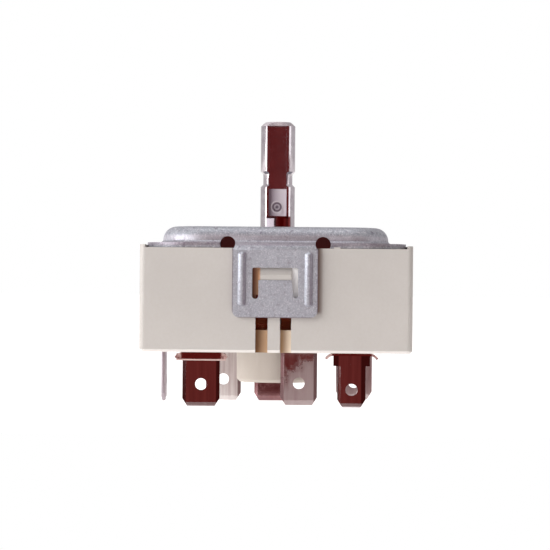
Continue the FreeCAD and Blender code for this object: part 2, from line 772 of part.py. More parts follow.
def snap_strap():
    strip = joined([strap_blank(), strap_rib(-1), strap_rib(1)])
    behind = box(
        -STRAP_WIDTH,
        STRAP_WIDTH,
        STRAP_INNER,
        STRAP_INNER + 2 * STRAP_RIB_RADIUS,
        STRAP_BOTTOM,
        STRAP_RIB_TOP,
    )
    return strip.cut([behind, strap_window()])


def cover_plate():
    plate = joined([pad_shell()] + front_and_back([snap_strap()])).cut(pad_hollow())
    collars = []
    cuts = [rod_z(SHAFT_BORE, 0, 0, -3 * SHEET, 1)]
    reliefs = []
    for side in (-1, 1):
        x = side * SCREW_SPACING / 2
        collar_radius = SCREW_HOLE_RADIUS + SCREW_COLLAR_WALL
        collars.append(rod_z(collar_radius, x, 0, -SHEET - SCREW_COLLAR_DEPTH, -SHEET / 2))
        cuts.append(rod_z(SCREW_HOLE_RADIUS, x, 0, -SHEET - SCREW_COLLAR_DEPTH - 1, 1))
        back = PAD_FRONT + SHEET + RELIEF_OVERRUN
        reliefs.append(rod_y(RELIEF_RADIUS, side * RELIEF_X, RELIEF_Z, STRAP_OUTER - 1, back))
    plate = joined([plate] + collars)
    return plate.cut(cuts + front_and_back(reliefs))


def shaft_flat_cut():
    return box(
        -2 * SHAFT_RADIUS, 2 * SHAFT_RADIUS, -2 * SHAFT_RADIUS, -SHAFT_FLAT, FLAT_BOTTOM, SHAFT_TOP + 1
    )


def lower_flat_cut():
    low = SHAFT_FOOT - 1
    return box(
        -2 * SHAFT_RADIUS, 2 * SHAFT_RADIUS, -2 * SHAFT_RADIUS, -SHAFT_FLAT, low, SHOULDER_BOTTOM
    )


def channel_cut():
    """Stepped channel down the flat: deep above the step, shallow below it."""
    half = CHANNEL_WIDTH / 2
    deep = box(-half, half, -2 * SHAFT_RADIUS, -CHANNEL_DEEP, CHANNEL_STEP, CHANNEL_TOP)
    low = FLAT_BOTTOM + CHANNEL_SILL
    shallow = box(-half, half, -2 * SHAFT_RADIUS, -CHANNEL_SHALLOW, low, CHANNEL_STEP)
    return [deep, shallow]


def pin_mark():
    """Raised ring that the ejector pin leaves in the channel."""
    base = -CHANNEL_SHALLOW
    mark = rod_y(PIN_MARK_RADIUS, 0, PIN_MARK_Z, base - PIN_MARK_RISE, base + PIN_MARK_RISE)
    inside = rod_y(PIN_MARK_RADIUS - PIN_MARK_RIM, 0, PIN_MARK_Z, base - 1, base + 1)
    return mark.cut(inside)


def shaft():
    neck_slope = SHAFT_RADIUS - NECK_RADIUS
    profile = [
        (0, SHAFT_FOOT),
        (SHAFT_RADIUS, SHAFT_FOOT),
        (SHAFT_RADIUS, SHOULDER_BOTTOM),
        (SHOULDER_RADIUS, SHOULDER_BOTTOM),
        (SHOULDER_RADIUS, SHOULDER_TOP),
        (SHAFT_RADIUS, SHOULDER_TOP),
        (SHAFT_RADIUS, NECK_BOTTOM),
        (NECK_RADIUS, NECK_BOTTOM + neck_slope),
        (NECK_RADIUS, NECK_TOP - neck_slope),
        (SHAFT_RADIUS, NECK_TOP),
        (SHAFT_RADIUS, SHAFT_TOP - SHAFT_CHAMFER_HEIGHT),
        (SHAFT_RADIUS - SHAFT_CHAMFER, SHAFT_TOP),
        (0, SHAFT_TOP),
    ]
    body = turned_profile(profile)
    body = body.cut([shaft_flat_cut(), lower_flat_cut()] + channel_cut())
    return joined([body, pin_mark()])


def track_disc(radius_at, stations, middle, height):
    """Cam track: an arc from each station angle to the next, through the radius halfway."""
    edges = []
    for start, end in zip(stations, stations[1:]):
        bend = []
        for angle in (start, (start + end) / 2, end):
            radius = radius_at(angle % 360.0)
            turn = math.radians(angle % 360.0)
            bend.append(Vector(radius * math.cos(turn), radius * math.sin(turn), middle - height / 2))
        edges.append(Part.Arc(*bend).toShape())
    return Part.Face(Part.Wire(edges)).extrude(Vector(0, 0, height))


def evenly(start, end, count):
    return [start + (end - start) * index / count for index in range(count)]


def notch_stations(span, place):
    """Four arcs for the notch, then the round rest of the track."""
    notch = evenly(place - span, place + span, 4)
    rest = evenly(place + span, place - span + 360.0, ROUND_ARCS)
    return notch + rest + [place - span + 360.0]


def control_radius(angle):
    """Even spiral that sets the heat, with a steep return to its low end."""
    rise = 360.0 - CONTROL_RETURN
    if angle <= rise:
        return TRACK_RADIUS - CONTROL_DROP * (1 - angle / rise)
    share = (angle - rise) / CONTROL_RETURN
    return TRACK_RADIUS - CONTROL_DROP * (1 - math.cos(math.pi * share)) / 2


def notch_radius(angle, depth, span, place):
    """Round track with one smooth notch, which opens the pole at OFF."""
    away = abs((angle - place + 180.0) % 360.0 - 180.0)
    if away >= span:
        return TRACK_RADIUS
    return TRACK_RADIUS - depth * (1 + math.cos(math.pi * away / span)) / 2


def pilot_radius(angle):
    return notch_radius(angle, PILOT_NOTCH, PILOT_NOTCH_SPAN, PILOT_PLACE)


def line_radius(angle):
    return notch_radius(angle, LINE_NOTCH, LINE_NOTCH_SPAN, LINE_PLACE)


def control_stations():
    rise = 360.0 - CONTROL_RETURN
    return evenly(0.0, rise, SPIRAL_ARCS) + evenly(rise, 360.0, 2) + [360.0]


def cam_rim():
    """Ring on top of the hub, round the shaft's shoulder."""
    outside = Part.Face(Part.makePolygon(ring(CAM_RIM_RADIUS, CAM_TOP, CAM_RIM_SIDES)))
    inside = Part.Face(Part.makePolygon(ring(CAM_RIM_INSIDE, CAM_TOP, CAM_RIM_SIDES)))
    return outside.cut(inside).extrude(Vector(0, 0, CAM_RIM_TOP - CAM_TOP))


def control_cam():
    hub = rod_z(CAM_HUB_RADIUS, 0, 0, CAM_BOTTOM, CAM_TOP)
    trunnion = rod_z(TRUNNION_RADIUS, 0, 0, TRUNNION_BOTTOM, CAM_BOTTOM + 1)
    discs = [
        track_disc(control_radius, control_stations(), CONTROL_Z, CONTROL_HEIGHT),
        track_disc(pilot_radius, notch_stations(PILOT_NOTCH_SPAN, PILOT_PLACE), PILOT_Z, PILOT_HEIGHT),
        track_disc(line_radius, notch_stations(LINE_NOTCH_SPAN, LINE_PLACE), LINE_Z, LINE_HEIGHT),
    ]
    body = joined([hub, trunnion, cam_rim()] + discs)
    bore = rod_z(SHAFT_BORE, 0, 0, TRUNNION_BOTTOM - 1, CAM_TOP + 1)
    flat = box(
        -2 * SHAFT_RADIUS,
        2 * SHAFT_RADIUS,
        -2 * SHAFT_RADIUS,
        -SHAFT_FLAT - RUNNING_FIT,
        TRUNNION_BOTTOM - 2,
        CAM_TOP + 2,
    )
    spring_well = rod_z(SPRING_WELL_RADIUS, 0, 0, SPRING_FLOOR, CAM_TOP + 1)
    return body.cut([bore.cut(flat), spring_well])


def wire_section():
    """Section of the spring wire with a few sides, standing across the Y direction."""
    corners = []
    for index in range(SPRING_SIDES):
        angle = 2 * math.pi * index / SPRING_SIDES
        corners.append(Vector(SPRING_WIRE * math.cos(angle), 0, SPRING_WIRE * math.sin(angle)))
    return Part.makePolygon(corners + [corners[0]])


def shaft_spring():
    """Coil as a loft through wire sections set round the helix."""
    low = SPRING_FLOOR + SPRING_WIRE + SPRING_SEAT_GAP
    high = SHOULDER_BOTTOM - SPRING_WIRE - SPRING_SEAT_GAP
    count = int(round(SPRING_TURNS * SPRING_STEPS))
    climb = math.atan2((high - low) / SPRING_TURNS, 2 * math.pi * SPRING_RADIUS)
    sections = []
    for index in range(count + 1):
        angle = 360.0 * index / SPRING_STEPS
        ring = wire_section()
        ring.rotate(Vector(0, 0, 0), Vector(1, 0, 0), math.degrees(climb))
        ring.translate(Vector(SPRING_RADIUS, 0, low + (high - low) * index / count))
        ring.rotate(Vector(0, 0, 0), Vector(0, 0, 1), angle)
        sections.append(ring)
    return Part.makeLoft(sections, True, True)


def tab_blade(width, hole_up, tip, top):
    """Quick-connect tab in the XZ plane: bevelled long edges, tip and corners, one hole."""
    half = width / 2
    corner_x = min(TAB_CORNER_X, half / 2)
    outline = [
        Vector(-half + corner_x, -TAB_THICKNESS, tip),
        Vector(half - corner_x, -TAB_THICKNESS, tip),
        Vector(half, -TAB_THICKNESS, tip + TAB_CORNER_Z),
        Vector(half, -TAB_THICKNESS, top),
        Vector(-half, -TAB_THICKNESS, top),
        Vector(-half, -TAB_THICKNESS, tip + TAB_CORNER_Z),
    ]
    face_form = prism(outline, Vector(0, 2 * TAB_THICKNESS, 0))
    edge = HALF_TAB - TAB_BEVEL_DEPTH
    section = [
        Vector(-half, -edge, tip),
        Vector(-half + TAB_BEVEL, -HALF_TAB, tip),
        Vector(half - TAB_BEVEL, -HALF_TAB, tip),
        Vector(half, -edge, tip),
        Vector(half, edge, tip),
        Vector(half - TAB_BEVEL, HALF_TAB, tip),
        Vector(-half + TAB_BEVEL, HALF_TAB, tip),
        Vector(-half, edge, tip),
    ]
    edge_form = prism(section, Vector(0, 0, top - tip))
    side = [
        Vector(-half, -edge, tip),
        Vector(-half, edge, tip),
        Vector(-half, HALF_TAB, tip + TAB_TIP_BEVEL),
        Vector(-half, HALF_TAB, top),
        Vector(-half, -HALF_TAB, top),
        Vector(-half, -HALF_TAB, tip + TAB_TIP_BEVEL),
    ]
    tip_form = prism(side, Vector(width, 0, 0))
    blade = face_form.common(edge_form).common(tip_form)
    hole = rod_y(TAB_HOLE_RADIUS, 0, tip + hole_up, -TAB_THICKNESS, TAB_THICKNESS)
    return blade.cut(hole)


def tab_root(x0, x1, top, width):
    """Part of a tab inside the case: stops on the floor and an upright plate."""
    stop_top = CAVITY_FLOOR + TAB_STOP_HEIGHT
    stop_half = width / 2 + TAB_STOP
    through = box(-width / 2, width / 2, -HALF_TAB, HALF_TAB, HOUSING_BOTTOM, stop_top)
    stops = box(-stop_half, stop_half, -HALF_TAB, HALF_TAB, CAVITY_FLOOR, stop_top)
    plate = box(x0, x1, -HALF_TAB, HALF_TAB, CAVITY_FLOOR, top)
    return joined([through, stops, plate])


def tab(x, y, width, hole_up, plate_x0, plate_x1, plate_top, quarter_turn=False, tip_rise=0.0):
    blade = tab_blade(width, hole_up, TIP_Z + tip_rise, HOUSING_BOTTOM)
    root = tab_root(plate_x0, plate_x1, plate_top, width)
    whole = joined([blade, root])
    if quarter_turn:
        whole = turned_about_z(whole, 90)
    whole.translate(Vector(x, y, 0))
    return whole


def blade_zone(middle):
    return middle - BLADE_HEIGHT / 2, middle + BLADE_HEIGHT / 2


def terminal_front_left():
    """Line tab, folded twice inside so that its contact faces the blade."""
    low, high = blade_zone(LINE_Z)
    left = LINE_FOLD_X - FRONT_LEFT_X - HALF_TAB
    body = tab(FRONT_LEFT_X, FRONT_LEFT_Y, TAB_WIDTH, TAB_HOLE_UP, left, TAB_WIDTH / 2, high)
    route = [
        (FRONT_LEFT_X, FRONT_LEFT_Y),
        (LINE_FOLD_X, FRONT_LEFT_Y),
        (LINE_FOLD_X, LINE_FOLD_Y),
        (LINE_CONTACT_X + CONTACT_RADIUS + FOLD_MARGIN, LINE_FOLD_Y),
    ]
    fold = bent_strip(route, TAB_THICKNESS, FOLD_RADIUS, low, high)
    corner = box(
        LINE_FOLD_X - TAB_THICKNESS,
        LINE_FOLD_X + HALF_TAB,
        FRONT_LEFT_Y - 1,
        FRONT_LEFT_Y + 1,
        CAVITY_FLOOR + TAB_STOP_HEIGHT,
        high + 1,
    )
    body = joined([body.cut(corner), fold])
    return body.cut(small_hole(CONTACT_SHANK, LINE_CONTACT_X, LINE_FOLD_Y, LINE_Z, ALONG_Y))


def terminal_front_middle():
    """Load tab that holds the root of the line blade."""
    low, high = blade_zone(LINE_Z)
    half = TAB_WIDTH / 2 - TAB_PLATE_INSET
    body = tab(FRONT_MIDDLE_X, FRONT_MIDDLE_Y, TAB_WIDTH, TAB_HOLE_UP, -half, half, high)
    return body.cut(small_hole(RIVET_RADIUS, LINE_RIVET_X, FRONT_MIDDLE_Y, LINE_Z, ALONG_Y))


def terminal_front_right():
    """Narrow pilot tab with wide shoulders, folded back inside to hold the pilot blade."""
    low, high = blade_zone(PILOT_Z)
    left = PILOT_FLANGE_X - FRONT_RIGHT_X
    body = tab(
        FRONT_RIGHT_X,
        FRONT_RIGHT_Y,
        TAB_NARROW_WIDTH,
        FRONT_RIGHT_HOLE_UP,
        left + 2 * TAB_THICKNESS,
        TAB_NARROW_WIDTH / 2,
        high,
    )
    shoulder = box(
        FRONT_RIGHT_X - FRONT_RIGHT_SHOULDER_WIDTH / 2,
        FRONT_RIGHT_X + FRONT_RIGHT_SHOULDER_WIDTH / 2,
        FRONT_RIGHT_Y - HALF_TAB,
        FRONT_RIGHT_Y + HALF_TAB,
        HOUSING_BOTTOM - FRONT_RIGHT_SHOULDER,
        HOUSING_BOTTOM,
    )
    route = [
        (FRONT_RIGHT_X + TAB_NARROW_WIDTH / 2, FRONT_RIGHT_Y),
        (PILOT_FLANGE_X, FRONT_RIGHT_Y),
        (PILOT_FLANGE_X, PILOT_RIVET_Y + BLADE_ROOT),
    ]
    fold = bent_strip(route, TAB_THICKNESS, FOLD_RADIUS, low, high)
    body = joined([body, shoulder, fold])
    return body.cut(small_hole(RIVET_RADIUS, PILOT_FLANGE_X, PILOT_RIVET_Y, PILOT_Z, ALONG_X))


def terminal_right():
    """Tab with the pilot's fixed contact on a folded wing."""
    low, high = blade_zone(PILOT_Z)
    left = PILOT_FOLD_X - RIGHT_X + TAB_THICKNESS
    body = tab(
        RIGHT_X,
        RIGHT_Y,
        TAB_WIDTH,
        TAB_HOLE_UP - RIGHT_TIP_RISE,
        left,
        TAB_WIDTH / 2,
        high,
        tip_rise=RIGHT_TIP_RISE,
    )
    route = [
        (RIGHT_X + TAB_WIDTH / 4, RIGHT_Y),
        (PILOT_FOLD_X, RIGHT_Y),
        (PILOT_FOLD_X, PILOT_CONTACT_Y + CONTACT_RADIUS + FOLD_MARGIN),
    ]
    fold = bent_strip(route, TAB_THICKNESS, FOLD_RADIUS, low, high)
    body = joined([body, fold])
    return body.cut(small_hole(CONTACT_SHANK, PILOT_FOLD_X, PILOT_CONTACT_Y, PILOT_Z, ALONG_X))


def terminal_back_left():
    """Tab with the cycling pole's fixed contact."""
    low, high = blade_zone(CYCLE_Z)
    half = TAB_WIDTH / 2 - TAB_PLATE_INSET
    body = tab(BACK_LEFT_X, BACK_LEFT_Y, TAB_WIDTH, TAB_HOLE_UP, -half, half, high)
    return body.cut(small_hole(CONTACT_SHANK, BACK_LEFT_X, BACK_LEFT_Y, CYCLE_Z, ALONG_Y))


def terminal_back_middle():
    """Tab that feeds the heater, cut low under the control lever."""
    half = TAB_WIDTH / 2 - BACK_MIDDLE_INSET
    top = CONTROL_Z - CONTROL_HEIGHT / 2 - BACK_MIDDLE_DROP
    return tab(BACK_MIDDLE_X, BACK_MIDDLE_Y, TAB_WIDTH, BACK_MIDDLE_HOLE_UP, -half, half, top)


def terminal_left_end():
    """Tab turned a quarter, which holds the root of the cycling blade."""
    low, high = blade_zone(CYCLE_Z)
    half = TAB_WIDTH / 2
    body = tab(LEFT_END_X, LEFT_END_Y, TAB_WIDTH, TAB_HOLE_UP, -half, half, high, True)
    return body.cut(small_hole(RIVET_RADIUS, LEFT_END_X, CYCLE_RIVET_Y, CYCLE_Z, ALONG_X))


def terminal_clip(x, y, width, with_lip):
    """Thin clip pressed up the tab against the case, with curled ends."""
    top = HOUSING_BOTTOM - CLIP_GAP
    flat_half = CLIP_LENGTH / 2 - CLIP_CURL
    outer = []
    inner = []
    for index in range(CLIP_CURL_STEPS + 1):
        angle = math.radians(CLIP_CURL_ANGLE * index / CLIP_CURL_STEPS)
        for side, radius in ((outer, CLIP_CURL), (inner, CLIP_CURL - CLIP_SHEET)):
            side.append((flat_half + radius * math.sin(angle), radius * math.cos(angle)))
    right = outer + inner[::-1]
    left = [(-across, height) for across, height in right[::-1]]
    front = y - CLIP_DEPTH / 2
    base = top - CLIP_CURL
    corners = [Vector(x + across, front, base + height) for across, height in right + left]
    plate = prism(corners, Vector(0, CLIP_DEPTH, 0))
    if with_lip:
        lip_back = y - HALF_TAB - CLIP_GAP
        lip = box(
            x - CLIP_LIP_LENGTH / 2,
            x + CLIP_LIP_LENGTH / 2,
            lip_back - CLIP_SHEET,
            lip_back,
            top - CLIP_LIP,
            top - CLIP_SHEET / 2,
        )
        plate = joined([plate, lip])
    half_width = width / 2 + CLIP_GAP
    slot = box(
        x - half_width,
        x + half_width,
        y - HALF_TAB - CLIP_GAP,
        y + HALF_TAB + CLIP_GAP,
        top - 3,
        top + 1,
    )
    return plate.cut(slot)


def line_fixed_contact():
    face = Vector(LINE_CONTACT_X, LINE_FOLD_Y + HALF_TAB, LINE_Z)
    return placed(contact_rivet(TAB_THICKNESS), face, ALONG_Y)


def line_moving_contact():
    face = Vector(LINE_CONTACT_X, LINE_BLADE_Y - HALF_BLADE, LINE_Z)
    return placed(contact_rivet(BLADE_SHEET), face, -ALONG_Y)


def line_nose():
    root = LINE_BLADE_Y + HALF_BLADE
    length = -NOSE_REACH - root
    return placed(follower_nose(length), Vector(LINE_NOSE_X, root, LINE_Z), ALONG_Y)


def line_blade_rivet():
    grip = TAB_THICKNESS + 2 * BLADE_GAP + BLADE_SHEET
    face = Vector(LINE_RIVET_X, FRONT_MIDDLE_Y + HALF_TAB - grip, LINE_Z)
    return placed(plain_rivet(grip), face, -ALONG_Y)


def line_blade():
    low, high = blade_zone(LINE_Z)
    route = [(LINE_RIVET_X + BLADE_ROOT, LINE_BLADE_Y), (LINE_TIP_X, LINE_BLADE_Y)]
    strip = bent_strip(route, BLADE_SHEET, BLADE_BEND, low, high)
    holes = [
        small_hole(RIVET_RADIUS + RIVET_HOLE_GAP, LINE_RIVET_X, LINE_BLADE_Y, LINE_Z, ALONG_Y),
        small_hole(NOSE_SHANK, LINE_NOSE_X, LINE_BLADE_Y, LINE_Z, ALONG_Y),
        small_hole(CONTACT_SHANK, LINE_CONTACT_X, LINE_BLADE_Y, LINE_Z, ALONG_Y),
    ]
    return strip.cut(holes)


def pilot_fixed_contact():
    face = Vector(PILOT_FOLD_X - HALF_TAB, PILOT_CONTACT_Y, PILOT_Z)
    return placed(contact_rivet(TAB_THICKNESS), face, -ALONG_X)


def pilot_moving_contact():
    face = Vector(PILOT_BLADE_X + HALF_BLADE, PILOT_CONTACT_Y, PILOT_Z)
    return placed(contact_rivet(BLADE_SHEET), face, ALONG_X)


def pilot_nose():
    root = PILOT_BLADE_X - HALF_BLADE
    return placed(follower_nose(root - NOSE_REACH), Vector(root, PILOT_NOSE_Y, PILOT_Z), -ALONG_X)


def pilot_blade_rivet():
    grip = TAB_THICKNESS + 2 * BLADE_GAP + BLADE_SHEET
    face = Vector(PILOT_FLANGE_X + HALF_TAB - grip, PILOT_RIVET_Y, PILOT_Z)
    return placed(plain_rivet(grip), face, -ALONG_X)


def pilot_blade():
    low, high = blade_zone(PILOT_Z)
    route = [(PILOT_BLADE_X, PILOT_RIVET_Y - PILOT_ROOT), (PILOT_BLADE_X, PILOT_TIP_Y)]
    strip = bent_strip(route, BLADE_SHEET, BLADE_BEND, low, high)
    holes = [
        small_hole(RIVET_RADIUS + RIVET_HOLE_GAP, PILOT_BLADE_X, PILOT_RIVET_Y, PILOT_Z, ALONG_X),
        small_hole(NOSE_SHANK, PILOT_BLADE_X, PILOT_NOSE_Y, PILOT_Z, ALONG_X),
        small_hole(CONTACT_SHANK, PILOT_BLADE_X, PILOT_CONTACT_Y, PILOT_Z, ALONG_X),
    ]
    return strip.cut(holes)


def cycling_fixed_contact():
    face = Vector(BACK_LEFT_X, BACK_LEFT_Y + HALF_TAB, CYCLE_Z)
    return placed(contact_rivet(TAB_THICKNESS), face, ALONG_Y)


def cycling_moving_contact():
    face = Vector(BACK_LEFT_X, CYCLE_BLADE_Y - HALF_BLADE, CYCLE_Z)
    return placed(contact_rivet(BLADE_SHEET), face, -ALONG_Y)


def cycling_blade_rivet():
    grip = TAB_THICKNESS + 3 * BLADE_GAP + BLADE_SHEET
    face = Vector(LEFT_END_X - HALF_TAB + grip, CYCLE_RIVET_Y, CYCLE_Z)
    return placed(plain_rivet(grip), face, ALONG_X)


def cycling_blade():
    low, high = blade_zone(CYCLE_Z)
    route = [
        (CYCLE_BLADE_X, CYCLE_ROOT_Y),
        (CYCLE_BLADE_X, CYCLE_BLADE_Y),
        (CYCLE_TIP_X, CYCLE_BLADE_Y),
    ]
    strip = bent_strip(route, BLADE_SHEET, BLADE_BEND, low, high)
    holes = [
        small_hole(RIVET_RADIUS + RIVET_HOLE_GAP, CYCLE_BLADE_X, CYCLE_RIVET_Y, CYCLE_Z, ALONG_X),
        small_hole(CONTACT_SHANK, BACK_LEFT_X, CYCLE_BLADE_Y, CYCLE_Z, ALONG_Y),
    ]
    return strip.cut(holes)


def lever_pin():
    return rod_z(PIN_RADIUS, PIN_X, PIN_Y, CAVITY_FLOOR, HOUSING_TOP - PIN_TOP_GAP)


def control_lever():
    """Follower lever: barrel on the pin, arm to the cam, folded tab for the bimetal."""
    low = CONTROL_Z - CONTROL_HEIGHT / 2
    high = CONTROL_Z + CONTROL_HEIGHT / 2
    barrel = rod_z(BARREL_RADIUS, PIN_X, PIN_Y, POST_TOP + BARREL_GAP, BARREL_TOP)
    half_sheet = LEVER_SHEET / 2
    arm = box(LEVER_TIP_X, PIN_X - PIN_RADIUS, PIN_Y - half_sheet, PIN_Y + half_sheet, low, high)
    nose_x = LEVER_TIP_X + LEVER_NOSE_RADIUS
    nose_y = math.sqrt(NOSE_REACH ** 2 - nose_x ** 2) + LEVER_NOSE_RADIUS + BARREL_GAP
    nose_low = low + LEVER_NOSE_INSET
    nose_high = high - LEVER_NOSE_INSET
    nose = rod_z(LEVER_NOSE_RADIUS, nose_x, nose_y, nose_low, nose_high)
    neck = box(LEVER_TIP_X, nose_x + LEVER_NOSE_RADIUS, nose_y, PIN_Y, nose_low, nose_high)
    route = [
        (PIN_X, PIN_Y + BARREL_RADIUS - half_sheet),
        (PIN_X, LEVER_TAB_Y),
        (LEVER_TAB_X, LEVER_TAB_Y),
    ]
    fold = bent_strip(
        route, LEVER_SHEET, FOLD_RADIUS, BIMETAL_Z - BIMETAL_HEIGHT / 2, BIMETAL_Z + BIMETAL_HEIGHT / 2
    )
    body = joined([barrel, arm, nose, neck, fold])
    cuts = [
        rod_z(PIN_RADIUS + RUNNING_FIT, PIN_X, PIN_Y, POST_TOP - 1, BARREL_TOP + 1),
        rod_y(SCREW_RADIUS, SCREW_X, CONTROL_Z, PIN_Y - 1, PIN_Y + 1),
    ]
    for side in (-1, 1):
        z = BIMETAL_Z + side * BIMETAL_RIVET_SPREAD
        cuts.append(small_hole(RIVET_RADIUS, BIMETAL_RIVET_X, LEVER_TAB_Y, z, ALONG_Y))
    return body.cut(cuts)


def calibration_screw():
    arm_front = PIN_Y - LEVER_SHEET / 2
    shank = rod_y(SCREW_RADIUS, SCREW_X, CONTROL_Z, arm_front, BIMETAL_FRONT - CLOSED_GAP)
    head = rod_y(SCREW_HEAD_RADIUS, SCREW_X, CONTROL_Z, arm_front - SCREW_HEAD_HEIGHT, arm_front)
    slot = box(
        SCREW_X - SCREW_HEAD_RADIUS - 1,
        SCREW_X + SCREW_HEAD_RADIUS + 1,
        arm_front - SCREW_HEAD_HEIGHT - 1,
        arm_front - SCREW_HEAD_HEIGHT + SCREW_SLOT_DEPTH,
        CONTROL_Z - SCREW_SLOT_WIDTH / 2,
        CONTROL_Z + SCREW_SLOT_WIDTH / 2,
    )
    return joined([shank, head]).cut(slot)


def bimetal_blade():
    strip = box(
        BIMETAL_TIP_X,
        BIMETAL_ROOT_X,
        BIMETAL_FRONT,
        BIMETAL_BACK,
        BIMETAL_Z - BIMETAL_HEIGHT / 2,
        BIMETAL_Z + BIMETAL_HEIGHT / 2,
    )
    holes = [small_hole(NOSE_SHANK, PUSHER_X, BIMETAL_FRONT, CYCLE_Z, ALONG_Y)]
    for side in (-1, 1):
        z = BIMETAL_Z + side * BIMETAL_RIVET_SPREAD
        radius = RIVET_RADIUS + RIVET_HOLE_GAP
        holes.append(small_hole(radius, BIMETAL_RIVET_X, BIMETAL_FRONT, z, ALONG_Y))
    return strip.cut(holes)


def bimetal_pusher():
    length = BIMETAL_FRONT - (CYCLE_BLADE_Y + HALF_BLADE) - CLOSED_GAP
    pusher = button(
        PUSHER_RADIUS, length, NOSE_SHANK, BIMETAL_THICKNESS, CONTACT_TAIL, CONTACT_TAIL_HEIGHT
    )
    return placed(pusher, Vector(PUSHER_X, BIMETAL_FRONT, CYCLE_Z), -ALONG_Y)


def bimetal_rivets():
    front = BIMETAL_FRONT - BLADE_GAP
    grip = LEVER_TAB_Y + LEVER_SHEET / 2 - front
    head = BIMETAL_RIVET_HEAD
    rivet = button(head, RIVET_HEAD_HEIGHT, RIVET_RADIUS, grip, head, RIVET_HEAD_HEIGHT / 2)
    pair = []
    for side in (-1, 1):
        z = BIMETAL_Z + side * BIMETAL_RIVET_SPREAD
        pair.append(placed(rivet, Vector(BIMETAL_RIVET_X, front, z), -ALONG_Y))
    return Part.makeCompound(pair)


def heater_insulator():
    """Mica sleeve round the bimetal, under the heater wire."""
    outer = box(
        MICA_START_X,
        MICA_END_X,
        BIMETAL_FRONT - MICA_THICKNESS,
        BIMETAL_BACK + MICA_THICKNESS,
        BIMETAL_Z - BIMETAL_HEIGHT / 2 - MICA_THICKNESS,
        BIMETAL_Z + BIMETAL_HEIGHT / 2 + MICA_THICKNESS,
    )
    inner = box(
        MICA_START_X - 1,
        MICA_END_X + 1,
        BIMETAL_FRONT,
        BIMETAL_BACK,
        BIMETAL_Z - BIMETAL_HEIGHT / 2,
        BIMETAL_Z + BIMETAL_HEIGHT / 2,
    )
    return outer.cut(inner)


def heater_winding():
    """Flat resistance wire wound round the sleeve; it steps along on the back."""
    front = BIMETAL_FRONT - MICA_THICKNESS
    back = BIMETAL_BACK + MICA_THICKNESS
    low = BIMETAL_Z - BIMETAL_HEIGHT / 2 - MICA_THICKNESS
    high = BIMETAL_Z + BIMETAL_HEIGHT / 2 + MICA_THICKNESS
    spare = (MICA_END_X - MICA_START_X) - (WIRE_TURNS - 1) * WIRE_PITCH - WIRE_WIDTH
    pieces = []
    for turn in range(WIRE_TURNS):
        x = MICA_START_X + spare / 2 + turn * WIRE_PITCH
        loop = box(
            x,
            x + WIRE_WIDTH,
            front - WIRE_THICKNESS,
            back + WIRE_THICKNESS,
            low - WIRE_THICKNESS,
            high + WIRE_THICKNESS,
        )
        inside = box(x - 1, x + WIRE_WIDTH + 1, front, back + 1, low, high)
        pieces.append(loop.cut(inside))
        if turn + 1 < WIRE_TURNS:
            step = [
                Vector(x, back, high),
                Vector(x + WIRE_WIDTH, back, high),
                Vector(x + WIRE_PITCH + WIRE_WIDTH, back, low),
                Vector(x + WIRE_PITCH, back, low),
            ]
            pieces.append(prism(step, Vector(0, WIRE_THICKNESS, 0)))
    return joined(pieces)


def clip_left():
    return terminal_clip(FRONT_LEFT_X, FRONT_LEFT_Y, TAB_WIDTH, True)


def clip_right():
    return terminal_clip(FRONT_RIGHT_X, FRONT_RIGHT_Y, FRONT_RIGHT_SHOULDER_WIDTH, False)


def main():
    os.makedirs("parts", exist_ok=True)
    makers = {
        "housing": housing,
        "cover_plate": cover_plate,
        "shaft": shaft,
        "control_cam": control_cam,
        "shaft_spring": shaft_spring,
        "terminal_front_left": terminal_front_left,
        "terminal_front_middle": terminal_front_middle,
        "terminal_front_right": terminal_front_right,
        "terminal_right": terminal_right,
        "terminal_back_left": terminal_back_left,
        "terminal_back_middle": terminal_back_middle,
        "terminal_left_end": terminal_left_end,
        "terminal_clip_left": clip_left,
        "terminal_clip_right": clip_right,
        "line_blade": line_blade,
        "line_nose": line_nose,
        "line_moving_contact": line_moving_contact,
        "line_fixed_contact": line_fixed_contact,
        "line_blade_rivet": line_blade_rivet,
        "pilot_blade": pilot_blade,
        "pilot_nose": pilot_nose,
        "pilot_moving_contact": pilot_moving_contact,
        "pilot_fixed_contact": pilot_fixed_contact,
        "pilot_blade_rivet": pilot_blade_rivet,
        "cycling_blade": cycling_blade,
        "cycling_moving_contact": cycling_moving_contact,
        "cycling_fixed_contact": cycling_fixed_contact,
        "cycling_blade_rivet": cycling_blade_rivet,
        "control_lever": control_lever,
        "lever_pin": lever_pin,
        "calibration_screw": calibration_screw,
        "bimetal_blade": bimetal_blade,
        "bimetal_pusher": bimetal_pusher,
        "bimetal_rivets": bimetal_rivets,
        "heater_insulator": heater_insulator,
        "heater_winding": heater_winding,
    }
    for name, make in makers.items():
        solid = make()
        solid.exportStep("parts/" + name + ".step")
        print(name, len(solid.Solids), solid.isValid(), round(solid.Volume, 2))


main()
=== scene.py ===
import math

import bpy
from mathutils import Matrix, Vector


